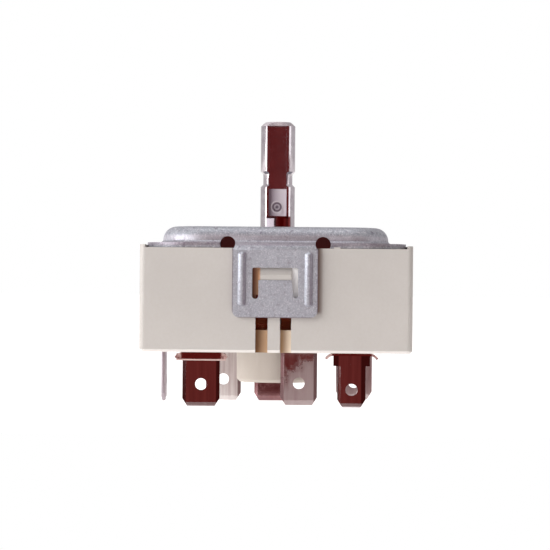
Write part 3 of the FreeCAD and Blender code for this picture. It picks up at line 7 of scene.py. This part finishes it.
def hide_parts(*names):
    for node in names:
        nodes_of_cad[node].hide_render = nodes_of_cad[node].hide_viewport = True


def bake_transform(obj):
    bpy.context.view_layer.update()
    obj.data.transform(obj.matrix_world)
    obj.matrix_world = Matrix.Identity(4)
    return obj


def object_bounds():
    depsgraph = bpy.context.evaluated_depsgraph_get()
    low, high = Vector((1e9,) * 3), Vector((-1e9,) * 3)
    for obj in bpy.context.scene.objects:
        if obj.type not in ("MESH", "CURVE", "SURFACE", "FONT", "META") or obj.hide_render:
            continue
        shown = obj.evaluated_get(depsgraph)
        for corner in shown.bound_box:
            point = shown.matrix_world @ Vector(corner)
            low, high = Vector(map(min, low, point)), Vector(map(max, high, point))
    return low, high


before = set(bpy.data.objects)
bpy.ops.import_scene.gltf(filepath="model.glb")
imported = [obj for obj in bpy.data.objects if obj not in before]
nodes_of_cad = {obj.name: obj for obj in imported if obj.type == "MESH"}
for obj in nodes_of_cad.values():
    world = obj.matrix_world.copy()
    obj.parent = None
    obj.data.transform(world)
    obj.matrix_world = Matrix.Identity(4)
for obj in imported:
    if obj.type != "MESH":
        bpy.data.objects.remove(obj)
cad_low, cad_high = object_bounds()

MILLIMETRES_PER_METRE = 1000.0

# The photograph's view: sizes in pixels of its 550 x 550 frame, lengths in metres.
PHOTO_SIDE = 550.0
FOCAL_PIXELS = 2618.0
CAMERA_DISTANCE = 0.459
EYE_HEIGHT = -0.0104
HORIZON_ROW = 288.0
AXIS_COLUMN = 277.0
YAW = math.radians(0.4)
ROLL = math.radians(0.5)
SENSOR_MILLIMETRES = 36.0
CLIP_START = 0.01
CLIP_END = 20.0

# Boxes where a finish or a painted light or shade changes, each from its low to its high corner,
# in millimetres.
LEFT_GROOVE = ((-3.5, -18.8, -27.0), (-1.1, -17.2, -17.4))
RIGHT_GROOVE = ((0.75, -18.8, -27.0), (2.9, -17.2, -17.4))
WINDOW_LEFT = ((-4.0, -19.9, -12.4), (-2.7, -17.2, -7.0))
WINDOW_RIGHT = ((2.7, -19.9, -12.4), (4.0, -17.2, -7.0))
BESIDE_STRAP = ((6.4, -19.9, -14.6), (9.0, -17.2, -3.0))
CASE_LOWER_EDGE = ((-24.0, -21.0, -21.5), (24.0, -18.0, -20.85))
FLANGE = ((-24.0, -21.0, -3.3), (24.0, 21.0, -2.6))
PAD_SHOULDER = ((-24.0, -21.0, -2.4), (24.0, 21.0, -1.5))
SHAFT_PANEL = ((-1.54, -2.1, 2.1), (1.54, -0.9, 6.9))
COLLAR_LEFT = ((-2.0, -3.1, -1.0), (-0.2, -1.5, 2.1))
COLLAR_RIGHT = ((-0.1, -3.1, -1.0), (2.3, -1.2, 2.1))

# Bands over which a finish or a painted light or shade changes along an axis, in millimetres.
GROOVE_WALL = 0.3
WINDOW_WALL = (-3.9, -2.8)
STRAP_SHADE = (7.1, 7.9)
CASE_FOOT = (-21.6, -21.3)
BEND_TO_STRAP = (-4.2, -3.4)
BEND_END = (-3.9, -3.6)
PANEL_LIGHT = (-1.3, 0.6)
COLLAR_TURN = (1.2, 1.7)
SHAFT_RIM = (17.86, 17.94)
TAB_TIP = (-29.85, -29.75)
CLIP_WING = (3.2, 3.5)
CLIP_LIP = (-22.55, -22.45)

# Drifting tarnish: the height where it is even and its reach sideways and down, in millimetres.
DRIFT_HEIGHT = -25.0
DRIFT_REACH_X = 3.0
DRIFT_REACH_Z = 2.2

# The strap on the cover, in millimetres: its middle, half width, foot and ribs.
STRAP_X = -0.2
STRAP_HALF = 7.2
STRAP_FOOT = -15.4
RIB_OUT = 5.6
RIB_SHADE_FOOT = -13.3
RIB_SHADE_TOP = -4.5

# The round ejector mark on the shaft's panel, in metres.
EJECTOR_MIDDLE = (-0.0001, 0.0, 0.00375)
EJECTOR_RADIUS = 0.00125
EJECTOR_EDGE = (0.00105, 0.0012)

# Rounding of sharp edges in millimetres, and the distance that joins points, in metres.
EDGE_WIDTHS = {"housing": 0.12, "cover_plate": 0.1, "shaft": 0.1}
TERMINAL_EDGE_WIDTH = 0.05
EDGE_SEGMENTS = 2
WELD_DISTANCE = 0.000002
SHARP_ANGLE = math.radians(35)

# Soft boxes: name, place, size in metres and power in watts.
SOFT_BOXES = (
    ("key", (-0.7, -0.36, 0.12), (0.9, 0.8), 8.6),
    ("fill", (0.85, -0.1, 0.1), (0.3, 0.6), 0.6),
    ("top", (0.0, 0.0, 0.8), (0.6, 0.6), 1.2),
)

# Floor and card: lengths in metres, glows as emission strengths.
FLOOR_SIDE = 6.0
FLOOR_FRONT = -0.1
FLOOR_GLOW = 0.55
FLOOR_GLOW_TO_CAMERA = 0.3
CARD_HALF_WIDTH = 0.6
CARD_FRONT = -0.5
CARD_BACK = -0.0105
CARD_LIFT = 0.0002

# The part of a direction that points back, where the dark room fades into the pale one.
ROOM_FADE = (-0.75, -0.2)

BLACK = (0.0, 0.0, 0.0, 1.0)
WHITE = (1.0, 1.0, 1.0, 1.0)


def make_camera():
    """A level, slightly rolled camera in front of the switch."""
    data = bpy.data.cameras.new("camera")
    data.sensor_width = SENSOR_MILLIMETRES
    data.lens = SENSOR_MILLIMETRES * FOCAL_PIXELS / PHOTO_SIDE
    data.clip_start = CLIP_START
    data.clip_end = CLIP_END
    camera = bpy.data.objects.new("camera", data)
    bpy.context.scene.collection.objects.link(camera)
    pitch = math.atan((HORIZON_ROW - PHOTO_SIDE / 2) / FOCAL_PIXELS)
    side = -(AXIS_COLUMN - PHOTO_SIDE / 2) * CAMERA_DISTANCE / FOCAL_PIXELS
    around = Matrix.Rotation(YAW, 4, "Z")
    place = Matrix.Translation((side, -CAMERA_DISTANCE, EYE_HEIGHT))
    turn = Matrix.Rotation(math.pi / 2 + pitch, 4, "X") @ Matrix.Rotation(ROLL, 4, "Z")
    camera.matrix_world = around @ place @ turn
    bpy.context.scene.camera = camera


def linear(red, green, blue):
    """Screen values of 0 to 255 as the linear colour that shaders take."""
    def one(value):
        share = value / 255
        return share / 12.92 if share <= 0.04045 else ((share + 0.055) / 1.055) ** 2.4
    return (one(red), one(green), one(blue), 1.0)


class Nodes:
    """A node tree with short ways to add to it.

    A value handed in is either plain or another node's output.
    """

    def __init__(self, tree):
        self.tree = tree

    def add(self, kind, **settings):
        """A new node with some of its settings changed."""
        node = self.tree.nodes.new(kind)
        for key, value in settings.items():
            setattr(node, key, value)
        return node

    def feed(self, socket, value):
        """Gives a socket its value."""
        if isinstance(value, bpy.types.NodeSocket):
            self.tree.links.new(value, socket)
        else:
            socket.default_value = value

    def ramp(self, factor, stops):
        """Colours by factor; stops is a list of (position, colour)."""
        node = self.add("ShaderNodeValToRGB")
        elements = node.color_ramp.elements
        while len(elements) < len(stops):
            elements.new(0.5)
        for element, (position, colour) in zip(elements, stops):
            element.position = position
            element.color = colour
        self.feed(node.inputs["Fac"], factor)
        return node.outputs["Color"]

    def levels(self, factor, low, high, band=(0.3, 0.7), curve="LINEAR"):
        """A level that goes from low to high while the factor crosses a band."""
        node = self.add("ShaderNodeMapRange", interpolation_type=curve)
        start, end = band
        settings = {
            "Value": factor, "From Min": start, "From Max": end, "To Min": low, "To Max": high,
        }
        for name, value in settings.items():
            self.feed(node.inputs[name], value)
        return node.outputs["Result"]

    def mixed(self, share, first, second):
        """A mix of two colours by the second one's share."""
        node = self.add("ShaderNodeMix", data_type="RGBA")
        for name, value in (("Factor", share), ("A", first), ("B", second)):
            self.feed(node.inputs[name], value)
        return node.outputs["Result"]

    def math(self, operation, *values):
        """The outcome of an operation on one to three values."""
        node = self.add("ShaderNodeMath", operation=operation)
        for socket, value in zip(node.inputs, values):
            self.feed(socket, value)
        return node.outputs[0]


class Shader(Nodes):
    """A new material, whose finish can depend on the place in the piece's own space."""

    def __init__(self, name):
        self.material = bpy.data.materials.new(name)
        self.material.use_nodes = True
        super().__init__(self.material.node_tree)
        self.surface = self.tree.nodes["Principled BSDF"]
        self.place = self.add("ShaderNodeTexCoord").outputs["Object"]

    def give(self, name, value):
        """Sets one input of the surface."""
        self.feed(self.surface.inputs[name], value)

    def noise(self, scale, detail=3.0, place=None, rough=0.5):
        """Seedless noise with so many patches to the metre."""
        node = self.add("ShaderNodeTexNoise")
        settings = {
            "Vector": place or self.place, "Scale": scale, "Detail": detail, "Roughness": rough,
        }
        for name, value in settings.items():
            self.feed(node.inputs[name], value)
        return node.outputs["Fac"]

    def stretched(self, scale):
        """Places stretched or squeezed along the axes, for grain."""
        node = self.add("ShaderNodeMapping")
        self.feed(node.inputs["Scale"], scale)
        self.feed(node.inputs["Vector"], self.place)
        return node.outputs["Vector"]

    def clouded(self, factor, first, second, band=(0.3, 0.7)):
        """Two shades that run into each other by a factor."""
        return self.ramp(factor, list(zip(band, (first, second))))

    def tinted(self, colour, mask, tint, strength=None):
        """A colour with a tint over it where the mask is high."""
        share = mask if strength is None else self.math("MULTIPLY", mask, strength)
        return self.mixed(share, colour, tint)

    def along(self, axis):
        """The place along one axis, in millimetres."""
        node = self.add("ShaderNodeSeparateXYZ")
        self.feed(node.inputs[0], self.place)
        return self.math("MULTIPLY", node.outputs[axis], MILLIMETRES_PER_METRE)

    def beside(self, middle):
        """Millimetres to the right of a middle line, negative to its left."""
        return self.math("SUBTRACT", self.along("X"), middle)

    def off_middle(self, middle):
        """Millimetres to either side of a middle line."""
        return self.math("ABSOLUTE", self.beside(middle))

    def inside(self, box, soft=0.1):
        """1 inside a box of two corners in millimetres, 0 outside."""
        share = None
        for axis, start, end in zip("XYZ", *box):
            place = self.along(axis)
            for one in (
                self.levels(place, 0.0, 1.0, (start - soft, start + soft)),
                self.levels(place, 1.0, 0.0, (end - soft, end + soft)),
            ):
                share = one if share is None else self.math("MULTIPLY", share, one)
        return share

    def bump(self, height, strength, distance):
        """Raises the surface by a height, with the distance in metres."""
        node = self.add("ShaderNodeBump")
        for name, value in (("Strength", strength), ("Distance", distance), ("Height", height)):
            self.feed(node.inputs[name], value)
        self.give("Normal", node.outputs["Normal"])


def case_moulding():
    """Satin thermoset, warm grey, with painted shade in its grooves, the window's left side and
    beside the strap, and painted light in the window's right side, along its foot and on its lower
    edge.
    """
    shader = Shader("case_moulding")
    flow = shader.noise(90, detail=2)
    speck = shader.noise(2400, detail=2)
    across = shader.along("X")
    colour = shader.clouded(flow, linear(202, 197, 193), linear(207, 202, 198), band=(0.35, 0.65))
    colour = shader.tinted(colour, shader.levels(speck, 0.0, 0.12), linear(188, 178, 168))

    # Painted shade in the two grooves: dark at the wall on the left, paler to the right.
    for groove, dark, pale in (
        (LEFT_GROOVE, linear(140, 99, 64), linear(206, 174, 142)),
        (RIGHT_GROOVE, linear(178, 142, 108), linear(240, 226, 208)),
    ):
        left, right = groove[0][0], groove[1][0]
        to_right = shader.levels(across, 0.0, 1.0, (left + GROOVE_WALL, right - GROOVE_WALL))
        shade = shader.mixed(to_right, dark, pale)
        colour = shader.tinted(colour, shader.inside(groove), shade)

    # Painted shade on the window's left side, dark at its wall, and painted light on its right
    # side.
    to_right = shader.levels(across, 0.0, 1.0, WINDOW_WALL)
    painted_wall_shade = shader.mixed(to_right, linear(112, 62, 40), linear(206, 158, 122))
    colour = shader.tinted(colour, shader.inside(WINDOW_LEFT), painted_wall_shade)
    colour = shader.tinted(colour, shader.inside(WINDOW_RIGHT), linear(255, 252, 250))

    # Painted shadow of the strap on the face to its right, fading away from the strap.
    to_strap = shader.levels(across, 0.8, 0.0, STRAP_SHADE)
    painted_strap_shadow = shader.math("MULTIPLY", shader.inside(BESIDE_STRAP, soft=0.3), to_strap)
    colour = shader.tinted(colour, painted_strap_shadow, linear(120, 84, 70))

    # Painted warm bounce light along the foot.
    foot = shader.levels(shader.along("Z"), 0.45, 0.0, CASE_FOOT)
    colour = shader.tinted(colour, foot, linear(230, 216, 200))
    # Painted highlight along the front's lower edge.
    painted_edge_highlight = shader.inside(CASE_LOWER_EDGE, soft=0.05)
    colour = shader.tinted(colour, painted_edge_highlight, linear(255, 250, 246), strength=0.7)

    shader.give("Base Color", colour)
    shader.give("Roughness", shader.levels(speck, 0.5, 0.58))
    shader.give("Specular IOR Level", 0.4)
    shader.bump(speck, strength=0.05, distance=0.00005)
    return shader.material


def zinc_plate():
    """Zinc-plated sheet: drawing streaks, grainy plating with painted glints, small dull spots,
    painted shade on the flange and ribs, painted light on the shoulder and strap.
    """
    shader = Shader("zinc_plate")
    streaks = shader.noise(1500, detail=4, place=shader.stretched((0.08, 1.0, 1.0)))
    clouds = shader.noise(800, detail=5, rough=0.6)
    grain = shader.noise(4200, detail=2)
    spots = shader.noise(1700, detail=3)
    height = shader.along("Z")
    colour = shader.ramp(clouds, [
        (0.3, linear(156, 161, 170)),
        (0.5, linear(173, 178, 187)),
        (0.7, linear(188, 192, 199)),
    ])
    colour = shader.tinted(colour, shader.levels(streaks, 0.0, 0.4), linear(146, 140, 156))
    # Painted glints: light specks from the plating's grain.
    glints = shader.levels(grain, 0.0, 0.7, (0.48, 0.72))
    colour = shader.tinted(colour, glints, linear(232, 230, 236))
    dull_spots = shader.levels(spots, 0.0, 0.6, (0.56, 0.7))
    colour = shader.tinted(colour, dull_spots, linear(112, 100, 118))
    # Painted shade on the flange and a painted highlight on the pad's shoulder above it.
    colour = shader.tinted(colour, shader.inside(FLANGE), linear(130, 106, 118), strength=0.4)
    shoulder = shader.inside(PAD_SHOULDER, soft=0.2)
    colour = shader.tinted(colour, shoulder, linear(236, 230, 238), strength=0.35)
    # The strap below the bend is painted lighter: painted light on the front.
    on_strap = shader.levels(height, 0.3, 0.0, BEND_TO_STRAP)
    colour = shader.tinted(colour, on_strap, linear(224, 232, 242))

    # The strap's long sides and its foot are coloured darker than its face.
    side_band = (STRAP_HALF - 0.2, STRAP_HALF - 0.08)
    side = shader.levels(shader.off_middle(STRAP_X), 0.0, 1.0, side_band)
    foot = shader.levels(height, 1.0, 0.0, (STRAP_FOOT + 0.05, STRAP_FOOT + 0.17))
    below_bend = shader.levels(height, 0.6, 0.0, BEND_END)
    darker_rim = shader.math("MULTIPLY", shader.math("MAXIMUM", side, foot), below_bend)
    colour = shader.tinted(colour, darker_rim, linear(112, 88, 100))

    # Each rib has painted shade on its right side.
    for rib in (STRAP_X - RIB_OUT, STRAP_X + RIB_OUT):
        box = ((rib + 0.2, -21.0, RIB_SHADE_FOOT), (rib + 0.72, -19.0, RIB_SHADE_TOP))
        rib_shade = shader.inside(box, soft=0.12)
        colour = shader.tinted(colour, rib_shade, linear(116, 94, 114), strength=0.5)

    shader.give("Base Color", colour)
    shader.give("Metallic", 0.38)
    shader.give("Roughness", shader.levels(clouds, 0.4, 0.54))
    shader.bump(streaks, strength=0.25, distance=0.00005)
    return shader.material


def ejector_mark(shader, panel_colour):
    """The panel's colour with the rings of the round ejector mark in it."""
    flat = shader.stretched((1.0, 0.0, 1.0))
    spread = shader.add("ShaderNodeVectorMath", operation="DISTANCE")
    shader.feed(spread.inputs[0], flat)
    shader.feed(spread.inputs[1], EJECTOR_MIDDLE)
    distance = spread.outputs["Value"]
    rings = shader.ramp(shader.math("MULTIPLY", distance, 1.0 / EJECTOR_RADIUS), [
        (0.0, linear(96, 84, 98)),
        (0.2, linear(150, 140, 152)),
        (0.32, linear(214, 206, 214)),
        (0.5, linear(112, 98, 112)),
        (0.62, linear(120, 106, 120)),
        (0.74, linear(236, 230, 236)),
        (0.9, linear(228, 222, 228)),
    ])
    return shader.tinted(panel_colour, shader.levels(distance, 1.0, 0.0, EJECTOR_EDGE), rings)


def die_cast():
    """Die-cast zinc: bright skin, dull on its top rim and on the panel with its ejector mark, with
    painted light and shade on the panel and collar.
    """
    shader = Shader("die_cast")
    ripple = shader.noise(700, detail=3)
    grain = shader.noise(3200, detail=2)
    across = shader.along("X")
    skin = shader.clouded(ripple, linear(190, 181, 187), linear(214, 208, 212))
    panel = shader.inside(SHAFT_PANEL, soft=0.04)
    # Painted shade on the panel's left and painted light on its right.
    to_right = shader.levels(across, 0.0, 1.0, PANEL_LIGHT)
    panel_colour = shader.mixed(to_right, linear(172, 158, 172), linear(236, 230, 238))
    colour = shader.tinted(skin, panel, ejector_mark(shader, panel_colour))

    # Painted shade on the collar's left, which tones down the lamp's highlight there.
    colour = shader.tinted(colour, shader.inside(COLLAR_LEFT, soft=0.15), linear(116, 110, 116))
    # Painted dark red reflection on the collar's right.
    to_right = shader.levels(across, 0.0, 1.0, COLLAR_TURN)
    red = shader.mixed(to_right, linear(146, 50, 48), linear(92, 34, 33))
    colour = shader.tinted(colour, shader.inside(COLLAR_RIGHT, soft=0.15), red)

    rim = shader.levels(shader.along("Z"), 0.0, 1.0, SHAFT_RIM)
    dull = shader.math("MAXIMUM", panel, rim)
    bright = shader.levels(grain, 0.13, 0.21)
    shader.give("Base Color", colour)
    shader.give("Metallic", shader.levels(dull, 1.0, 0.3, (0.0, 1.0)))
    shader.give("Roughness", shader.math("ADD", bright, shader.math("MULTIPLY", dull, 0.36)))
    shader.bump(ripple, strength=0.08, distance=0.00004)
    return shader.material


def plated(
    name, light, dark, smooth, dull, mottle=0.5, metal=1.0, worn_metal=None, blade=None, drift=0.0,
):
    """Plated strip with rolling lines along it, cloudy tarnish and painted shade on its long
    edges.

    light and dark are the bright and the tarnished colour, smooth and dull their roughness.
    A high mottle means little tarnish; metal and worn_metal say how metallic the bright
    and the tarnished parts are. blade is the blade's middle and half width in millimetres;
    drift, which needs a blade, moves the tarnish to its right and tip.
    """
    shader = Shader(name)
    lines = shader.noise(1400, detail=3, place=shader.stretched((1.0, 1.0, 0.06)))
    patches = shader.noise(420, detail=6, rough=0.66)
    if drift:
        sideways = shader.math("MULTIPLY", shader.beside(blade[0]), drift / DRIFT_REACH_X)
        height = shader.math("SUBTRACT", shader.along("Z"), DRIFT_HEIGHT)
        down = shader.math("MULTIPLY", height, -drift / DRIFT_REACH_Z)
        patches = shader.math("ADD", patches, shader.math("ADD", sideways, down))
    patch = shader.levels(patches, 0.0, 1.0, (mottle - 0.06, mottle + 0.24))
    colour = shader.tinted(light, patch, dark)
    colour = shader.tinted(colour, shader.levels(lines, 0.0, 0.5), linear(160, 130, 132))
    if blade:
        middle, half = blade
        # Painted shade on the blade's long edges.
        edge = shader.levels(shader.off_middle(middle), 0.0, 0.85, (half - 0.7, half - 0.5))
        colour = shader.tinted(colour, edge, linear(104, 68, 70))
        tip = shader.levels(shader.along("Z"), 0.6, 0.0, TAB_TIP)
        colour = shader.tinted(colour, tip, dark)
        patch = shader.math("MAXIMUM", patch, tip)
    worn = metal if worn_metal is None else worn_metal
    shader.give("Base Color", colour)
    shader.give("Metallic", shader.levels(patch, metal, worn, (0.0, 1.0)))
    shader.give("Roughness", shader.levels(patch, smooth, dull, (0.0, 1.0)))
    shader.bump(lines, strength=0.08, distance=0.00003)
    return shader.material


def clip_metal(name, middle):
    """Thin bright clip: mirror-like in the middle, with a painted highlight along its lip and
    painted glints on its wings, duller in both places.
    """
    shader = Shader(name)
    clip_patches = shader.noise(1300, detail=3)
    # Painted glints on the wings and a painted highlight along the lip, both also duller there.
    wings = shader.levels(shader.off_middle(middle), 0.0, 1.0, CLIP_WING)
    lip = shader.levels(shader.along("Z"), 1.0, 0.0, CLIP_LIP)
    painted_wing_glints = shader.math("MULTIPLY", wings, shader.levels(clip_patches, 0.3, 1.0))
    worn = shader.math("MAXIMUM", painted_wing_glints, lip)
    bright = shader.clouded(clip_patches, linear(176, 122, 118), linear(196, 144, 140))
    shader.give("Base Color", shader.tinted(bright, worn, linear(238, 214, 208)))
    shader.give("Metallic", shader.levels(worn, 1.0, 0.2, (0.0, 1.0)))
    shader.give("Roughness", shader.levels(worn, 0.08, 0.4, (0.0, 1.0)))
    shader.bump(clip_patches, strength=0.1, distance=0.00004)
    return shader.material


def moulded(name, first, second, rough):
    """Small moulded parts: two close shades and a fine grain."""
    shader = Shader(name)
    flow = shader.noise(500, detail=3)
    grain = shader.noise(3000, detail=2)
    shader.give("Base Color", shader.clouded(flow, first, second))
    shader.give("Roughness", shader.levels(grain, rough - 0.06, rough + 0.08))
    shader.bump(grain, strength=0.1, distance=0.00004)
    return shader.material


def worked_metal(name, first, second, rough, grain_scale=(1.0, 1.0, 1.0)):
    """Rolled, drawn or turned metal of the inner works."""
    shader = Shader(name)
    flow = shader.noise(700, detail=3)
    grain = shader.noise(1800, detail=3, place=shader.stretched(grain_scale))
    shader.give("Base Color", shader.clouded(flow, first, second))
    shader.give("Metallic", 1.0)
    shader.give("Roughness", shader.levels(grain, rough - 0.08, rough + 0.08))
    shader.bump(grain, strength=0.1, distance=0.00003)
    return shader.material


def cam_moulding():
    """Dark red thermoset with a painted glow, so that it shows through the openings as dark red
    shade.
    """
    material = moulded("cam_moulding", linear(104, 34, 32), linear(122, 42, 38), rough=0.5)
    surface = material.node_tree.nodes["Principled BSDF"]
    # Painted glow: the cam is no lamp; the glow stands in for light that doesn't reach inside.
    surface.inputs["Emission Color"].default_value = linear(50, 20, 19)
    surface.inputs["Emission Strength"].default_value = 1.0
    return material


CLIP_MIDDLES = {"terminal_clip_left": -12.6, "terminal_clip_right": 12.85}

# Each tab's finish, as plated() takes it. The back-left tab's colour is painted light, for the
# light it lacks under the housing, and the back-middle tab's dark red is a painted reflection.
BRIGHT_TAB = {
    "light": linear(214, 208, 208), "dark": linear(178, 168, 168),
    "smooth": 0.07, "dull": 0.36, "mottle": 0.8, "worn_metal": 0.5,
}
TAB_FINISHES = {
    "terminal_front_left": {**BRIGHT_TAB, "blade": (-12.6, 3.15)},
    "terminal_front_right": {**BRIGHT_TAB, "blade": (12.56, 2.5)},
    "terminal_front_middle": {
        "light": linear(210, 196, 196), "dark": linear(188, 172, 172),
        "smooth": 0.2, "dull": 0.36, "mottle": 0.36, "worn_metal": 0.3,
        "blade": (3.95, 3.15), "drift": 0.17,
    },
    "terminal_back_middle": {
        "light": linear(150, 106, 108), "dark": linear(170, 136, 138),
        "smooth": 0.14, "dull": 0.24,
    },
    "terminal_left_end": {
        "light": linear(190, 182, 190), "dark": linear(172, 164, 174),
        "smooth": 0.3, "dull": 0.42, "metal": 0.5,
    },
    "terminal_right": {
        "light": linear(214, 198, 198), "dark": linear(196, 180, 182),
        "smooth": 0.3, "dull": 0.4, "metal": 0.75,
    },
    "terminal_back_left": {
        "light": linear(248, 242, 240), "dark": linear(240, 234, 232),
        "smooth": 0.3, "dull": 0.42, "metal": 0.45, "blade": (-9.5, 3.15),
    },
}


def dress():
    """Gives every CAD node its finish."""
    bronze = worked_metal(
        "blade_bronze", linear(206, 158, 108), linear(222, 176, 124), rough=0.3,
        grain_scale=(0.1, 0.1, 1.0))
    silver = worked_metal(
        "contact_silver", linear(222, 220, 214), linear(236, 234, 228), rough=0.22)
    rivet = worked_metal("rivet_metal", linear(168, 168, 168), linear(190, 190, 190), rough=0.34)
    cream = moulded("nose_moulding", linear(222, 212, 190), linear(232, 224, 206), rough=0.42)
    finishes = {
        "housing": case_moulding(),
        "cover_plate": zinc_plate(),
        "shaft": die_cast(),
        "control_cam": cam_moulding(),
        "shaft_spring": worked_metal(
            "spring_steel", linear(160, 160, 164), linear(184, 184, 186), rough=0.26),
        "control_lever": worked_metal(
            "lever_steel", linear(166, 166, 172), linear(186, 186, 190), rough=0.36),
        "calibration_screw": worked_metal(
            "screw_brass", linear(206, 170, 92), linear(226, 192, 116), rough=0.28),
        "bimetal_blade": worked_metal(
            "bimetal_strip", linear(160, 154, 146), linear(178, 172, 162), rough=0.34,
            grain_scale=(0.1, 1.0, 1.0)),
        "heater_insulator": moulded(
            "mica", linear(176, 150, 104), linear(198, 172, 126), rough=0.3),
        "heater_winding": worked_metal(
            "heater_wire", linear(110, 104, 98), linear(134, 126, 118), rough=0.4),
        "bimetal_pusher": cream,
    }
    by_last_word = {"nose": cream, "contact": silver, "blade": bronze}
    for name in nodes_of_cad:
        if name in CLIP_MIDDLES:
            finishes[name] = clip_metal(name, CLIP_MIDDLES[name])
        elif name in TAB_FINISHES:
            finishes[name] = plated(name, **TAB_FINISHES[name])
        elif name not in finishes:
            finishes[name] = by_last_word.get(name.split("_")[-1], rivet)
    for name, material in finishes.items():
        mesh = nodes_of_cad[name].data
        mesh.materials.clear()
        mesh.materials.append(material)


def soften_edges():
    """Rounds the sharp edges of the pieces that the camera can see."""
    for name, node in nodes_of_cad.items():
        width = EDGE_WIDTHS.get(name, TERMINAL_EDGE_WIDTH if name.startswith("terminal") else None)
        if width is None:
            continue
        weld = node.modifiers.new("weld", "WELD")
        weld.merge_threshold = WELD_DISTANCE
        bevel = node.modifiers.new("soft edges", "BEVEL")
        bevel.width = width / MILLIMETRES_PER_METRE
        bevel.segments = EDGE_SEGMENTS
        bevel.limit_method = "ANGLE"
        bevel.angle_limit = SHARP_ANGLE
        bevel.harden_normals = True


def compressing_spring():
    """The return spring as a copy of its CAD node, which is hidden."""
    solid = nodes_of_cad["shaft_spring"]
    coil = bpy.data.objects.new("spring_coil", solid.data.copy())
    bpy.context.scene.collection.objects.link(coil)
    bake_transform(coil)
    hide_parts("shaft_spring")


def soft_box(name, place, size, power):
    """A soft light aimed at the middle of the switch."""
    data = bpy.data.lights.new(name, "AREA")
    data.shape = "RECTANGLE"
    data.size, data.size_y = size
    data.energy = power
    lamp = bpy.data.objects.new(name, data)
    bpy.context.scene.collection.objects.link(lamp)
    lamp.location = place
    middle = (cad_low + cad_high) / 2
    lamp.rotation_euler = (middle - Vector(place)).to_track_quat("-Z", "Y").to_euler()


def level_sheet(name, half_width, front, back, height):
    """A flat rectangle at a height, and the shader of its new material."""
    shader = Shader(name)
    mesh = bpy.data.meshes.new(name)
    corners = [
        (-half_width, front, 0), (half_width, front, 0), (half_width, back, 0),
        (-half_width, back, 0),
    ]
    mesh.from_pydata(corners, [], [(0, 1, 2, 3)])
    mesh.materials.append(shader.material)
    sheet = bpy.data.objects.new(name, mesh)
    sheet.location.z = height
    bpy.context.scene.collection.objects.link(sheet)
    return sheet, shader


def white_floor():
    """Pale floor that glows a little, and more to the camera, so that it looks white there."""
    floor, shader = level_sheet("floor", FLOOR_SIDE, FLOOR_FRONT, FLOOR_SIDE, cad_low.z)
    to_camera = shader.add("ShaderNodeLightPath").outputs["Is Camera Ray"]
    shader.give("Base Color", (0.86, 0.86, 0.86, 1.0))
    shader.give("Roughness", 0.9)
    shader.give("Emission Color", WHITE)
    glow = shader.math("MULTIPLY_ADD", to_camera, FLOOR_GLOW_TO_CAMERA, FLOOR_GLOW)
    shader.give("Emission Strength", glow)


def dark_card():
    """Dark red card in front of the switch, which only mirror-like faces see."""
    card, shader = level_sheet(
        "dark_card", CARD_HALF_WIDTH, CARD_FRONT, CARD_BACK, cad_low.z + CARD_LIFT)
    card.visible_camera = False
    card.visible_diffuse = False
    card.visible_shadow = False
    shader.give("Base Color", BLACK)
    shader.give("Specular IOR Level", 0.0)
    shader.give("Emission Color", linear(117, 48, 45))
    shader.give("Emission Strength", 1.0)


def surroundings():
    """White to the camera, soft grey light, and a dark red room in front for mirror-like faces."""
    world = bpy.data.worlds.new("world")
    bpy.context.scene.world = world
    world.use_nodes = True
    nodes = Nodes(world.node_tree)
    dark_front, pale_back = linear(110, 42, 42), (0.62, 0.6, 0.61, 1.0)
    soft_grey = (0.29, 0.265, 0.25, 1.0)
    direction = nodes.add("ShaderNodeSeparateXYZ")
    nodes.feed(direction.inputs[0], nodes.add("ShaderNodeTexCoord").outputs["Generated"])
    to_back = nodes.levels(direction.outputs["Y"], 0.0, 1.0, ROOM_FADE, "SMOOTHSTEP")
    room = nodes.mixed(to_back, dark_front, pale_back)
    ray = nodes.add("ShaderNodeLightPath").outputs
    reflected = nodes.mixed(ray["Is Glossy Ray"], soft_grey, room)
    shown = nodes.mixed(ray["Is Camera Ray"], reflected, WHITE)
    nodes.feed(world.node_tree.nodes["Background"].inputs["Color"], shown)


def studio():
    """White floor and background, soft light and the dark surroundings for reflections."""
    white_floor()
    for name, place, size, power in SOFT_BOXES:
        soft_box(name, place, size, power)
    dark_card()
    surroundings()


make_camera()
dress()
soften_edges()
compressing_spring()
studio()
bpy.context.scene.view_settings.view_transform = "Standard"
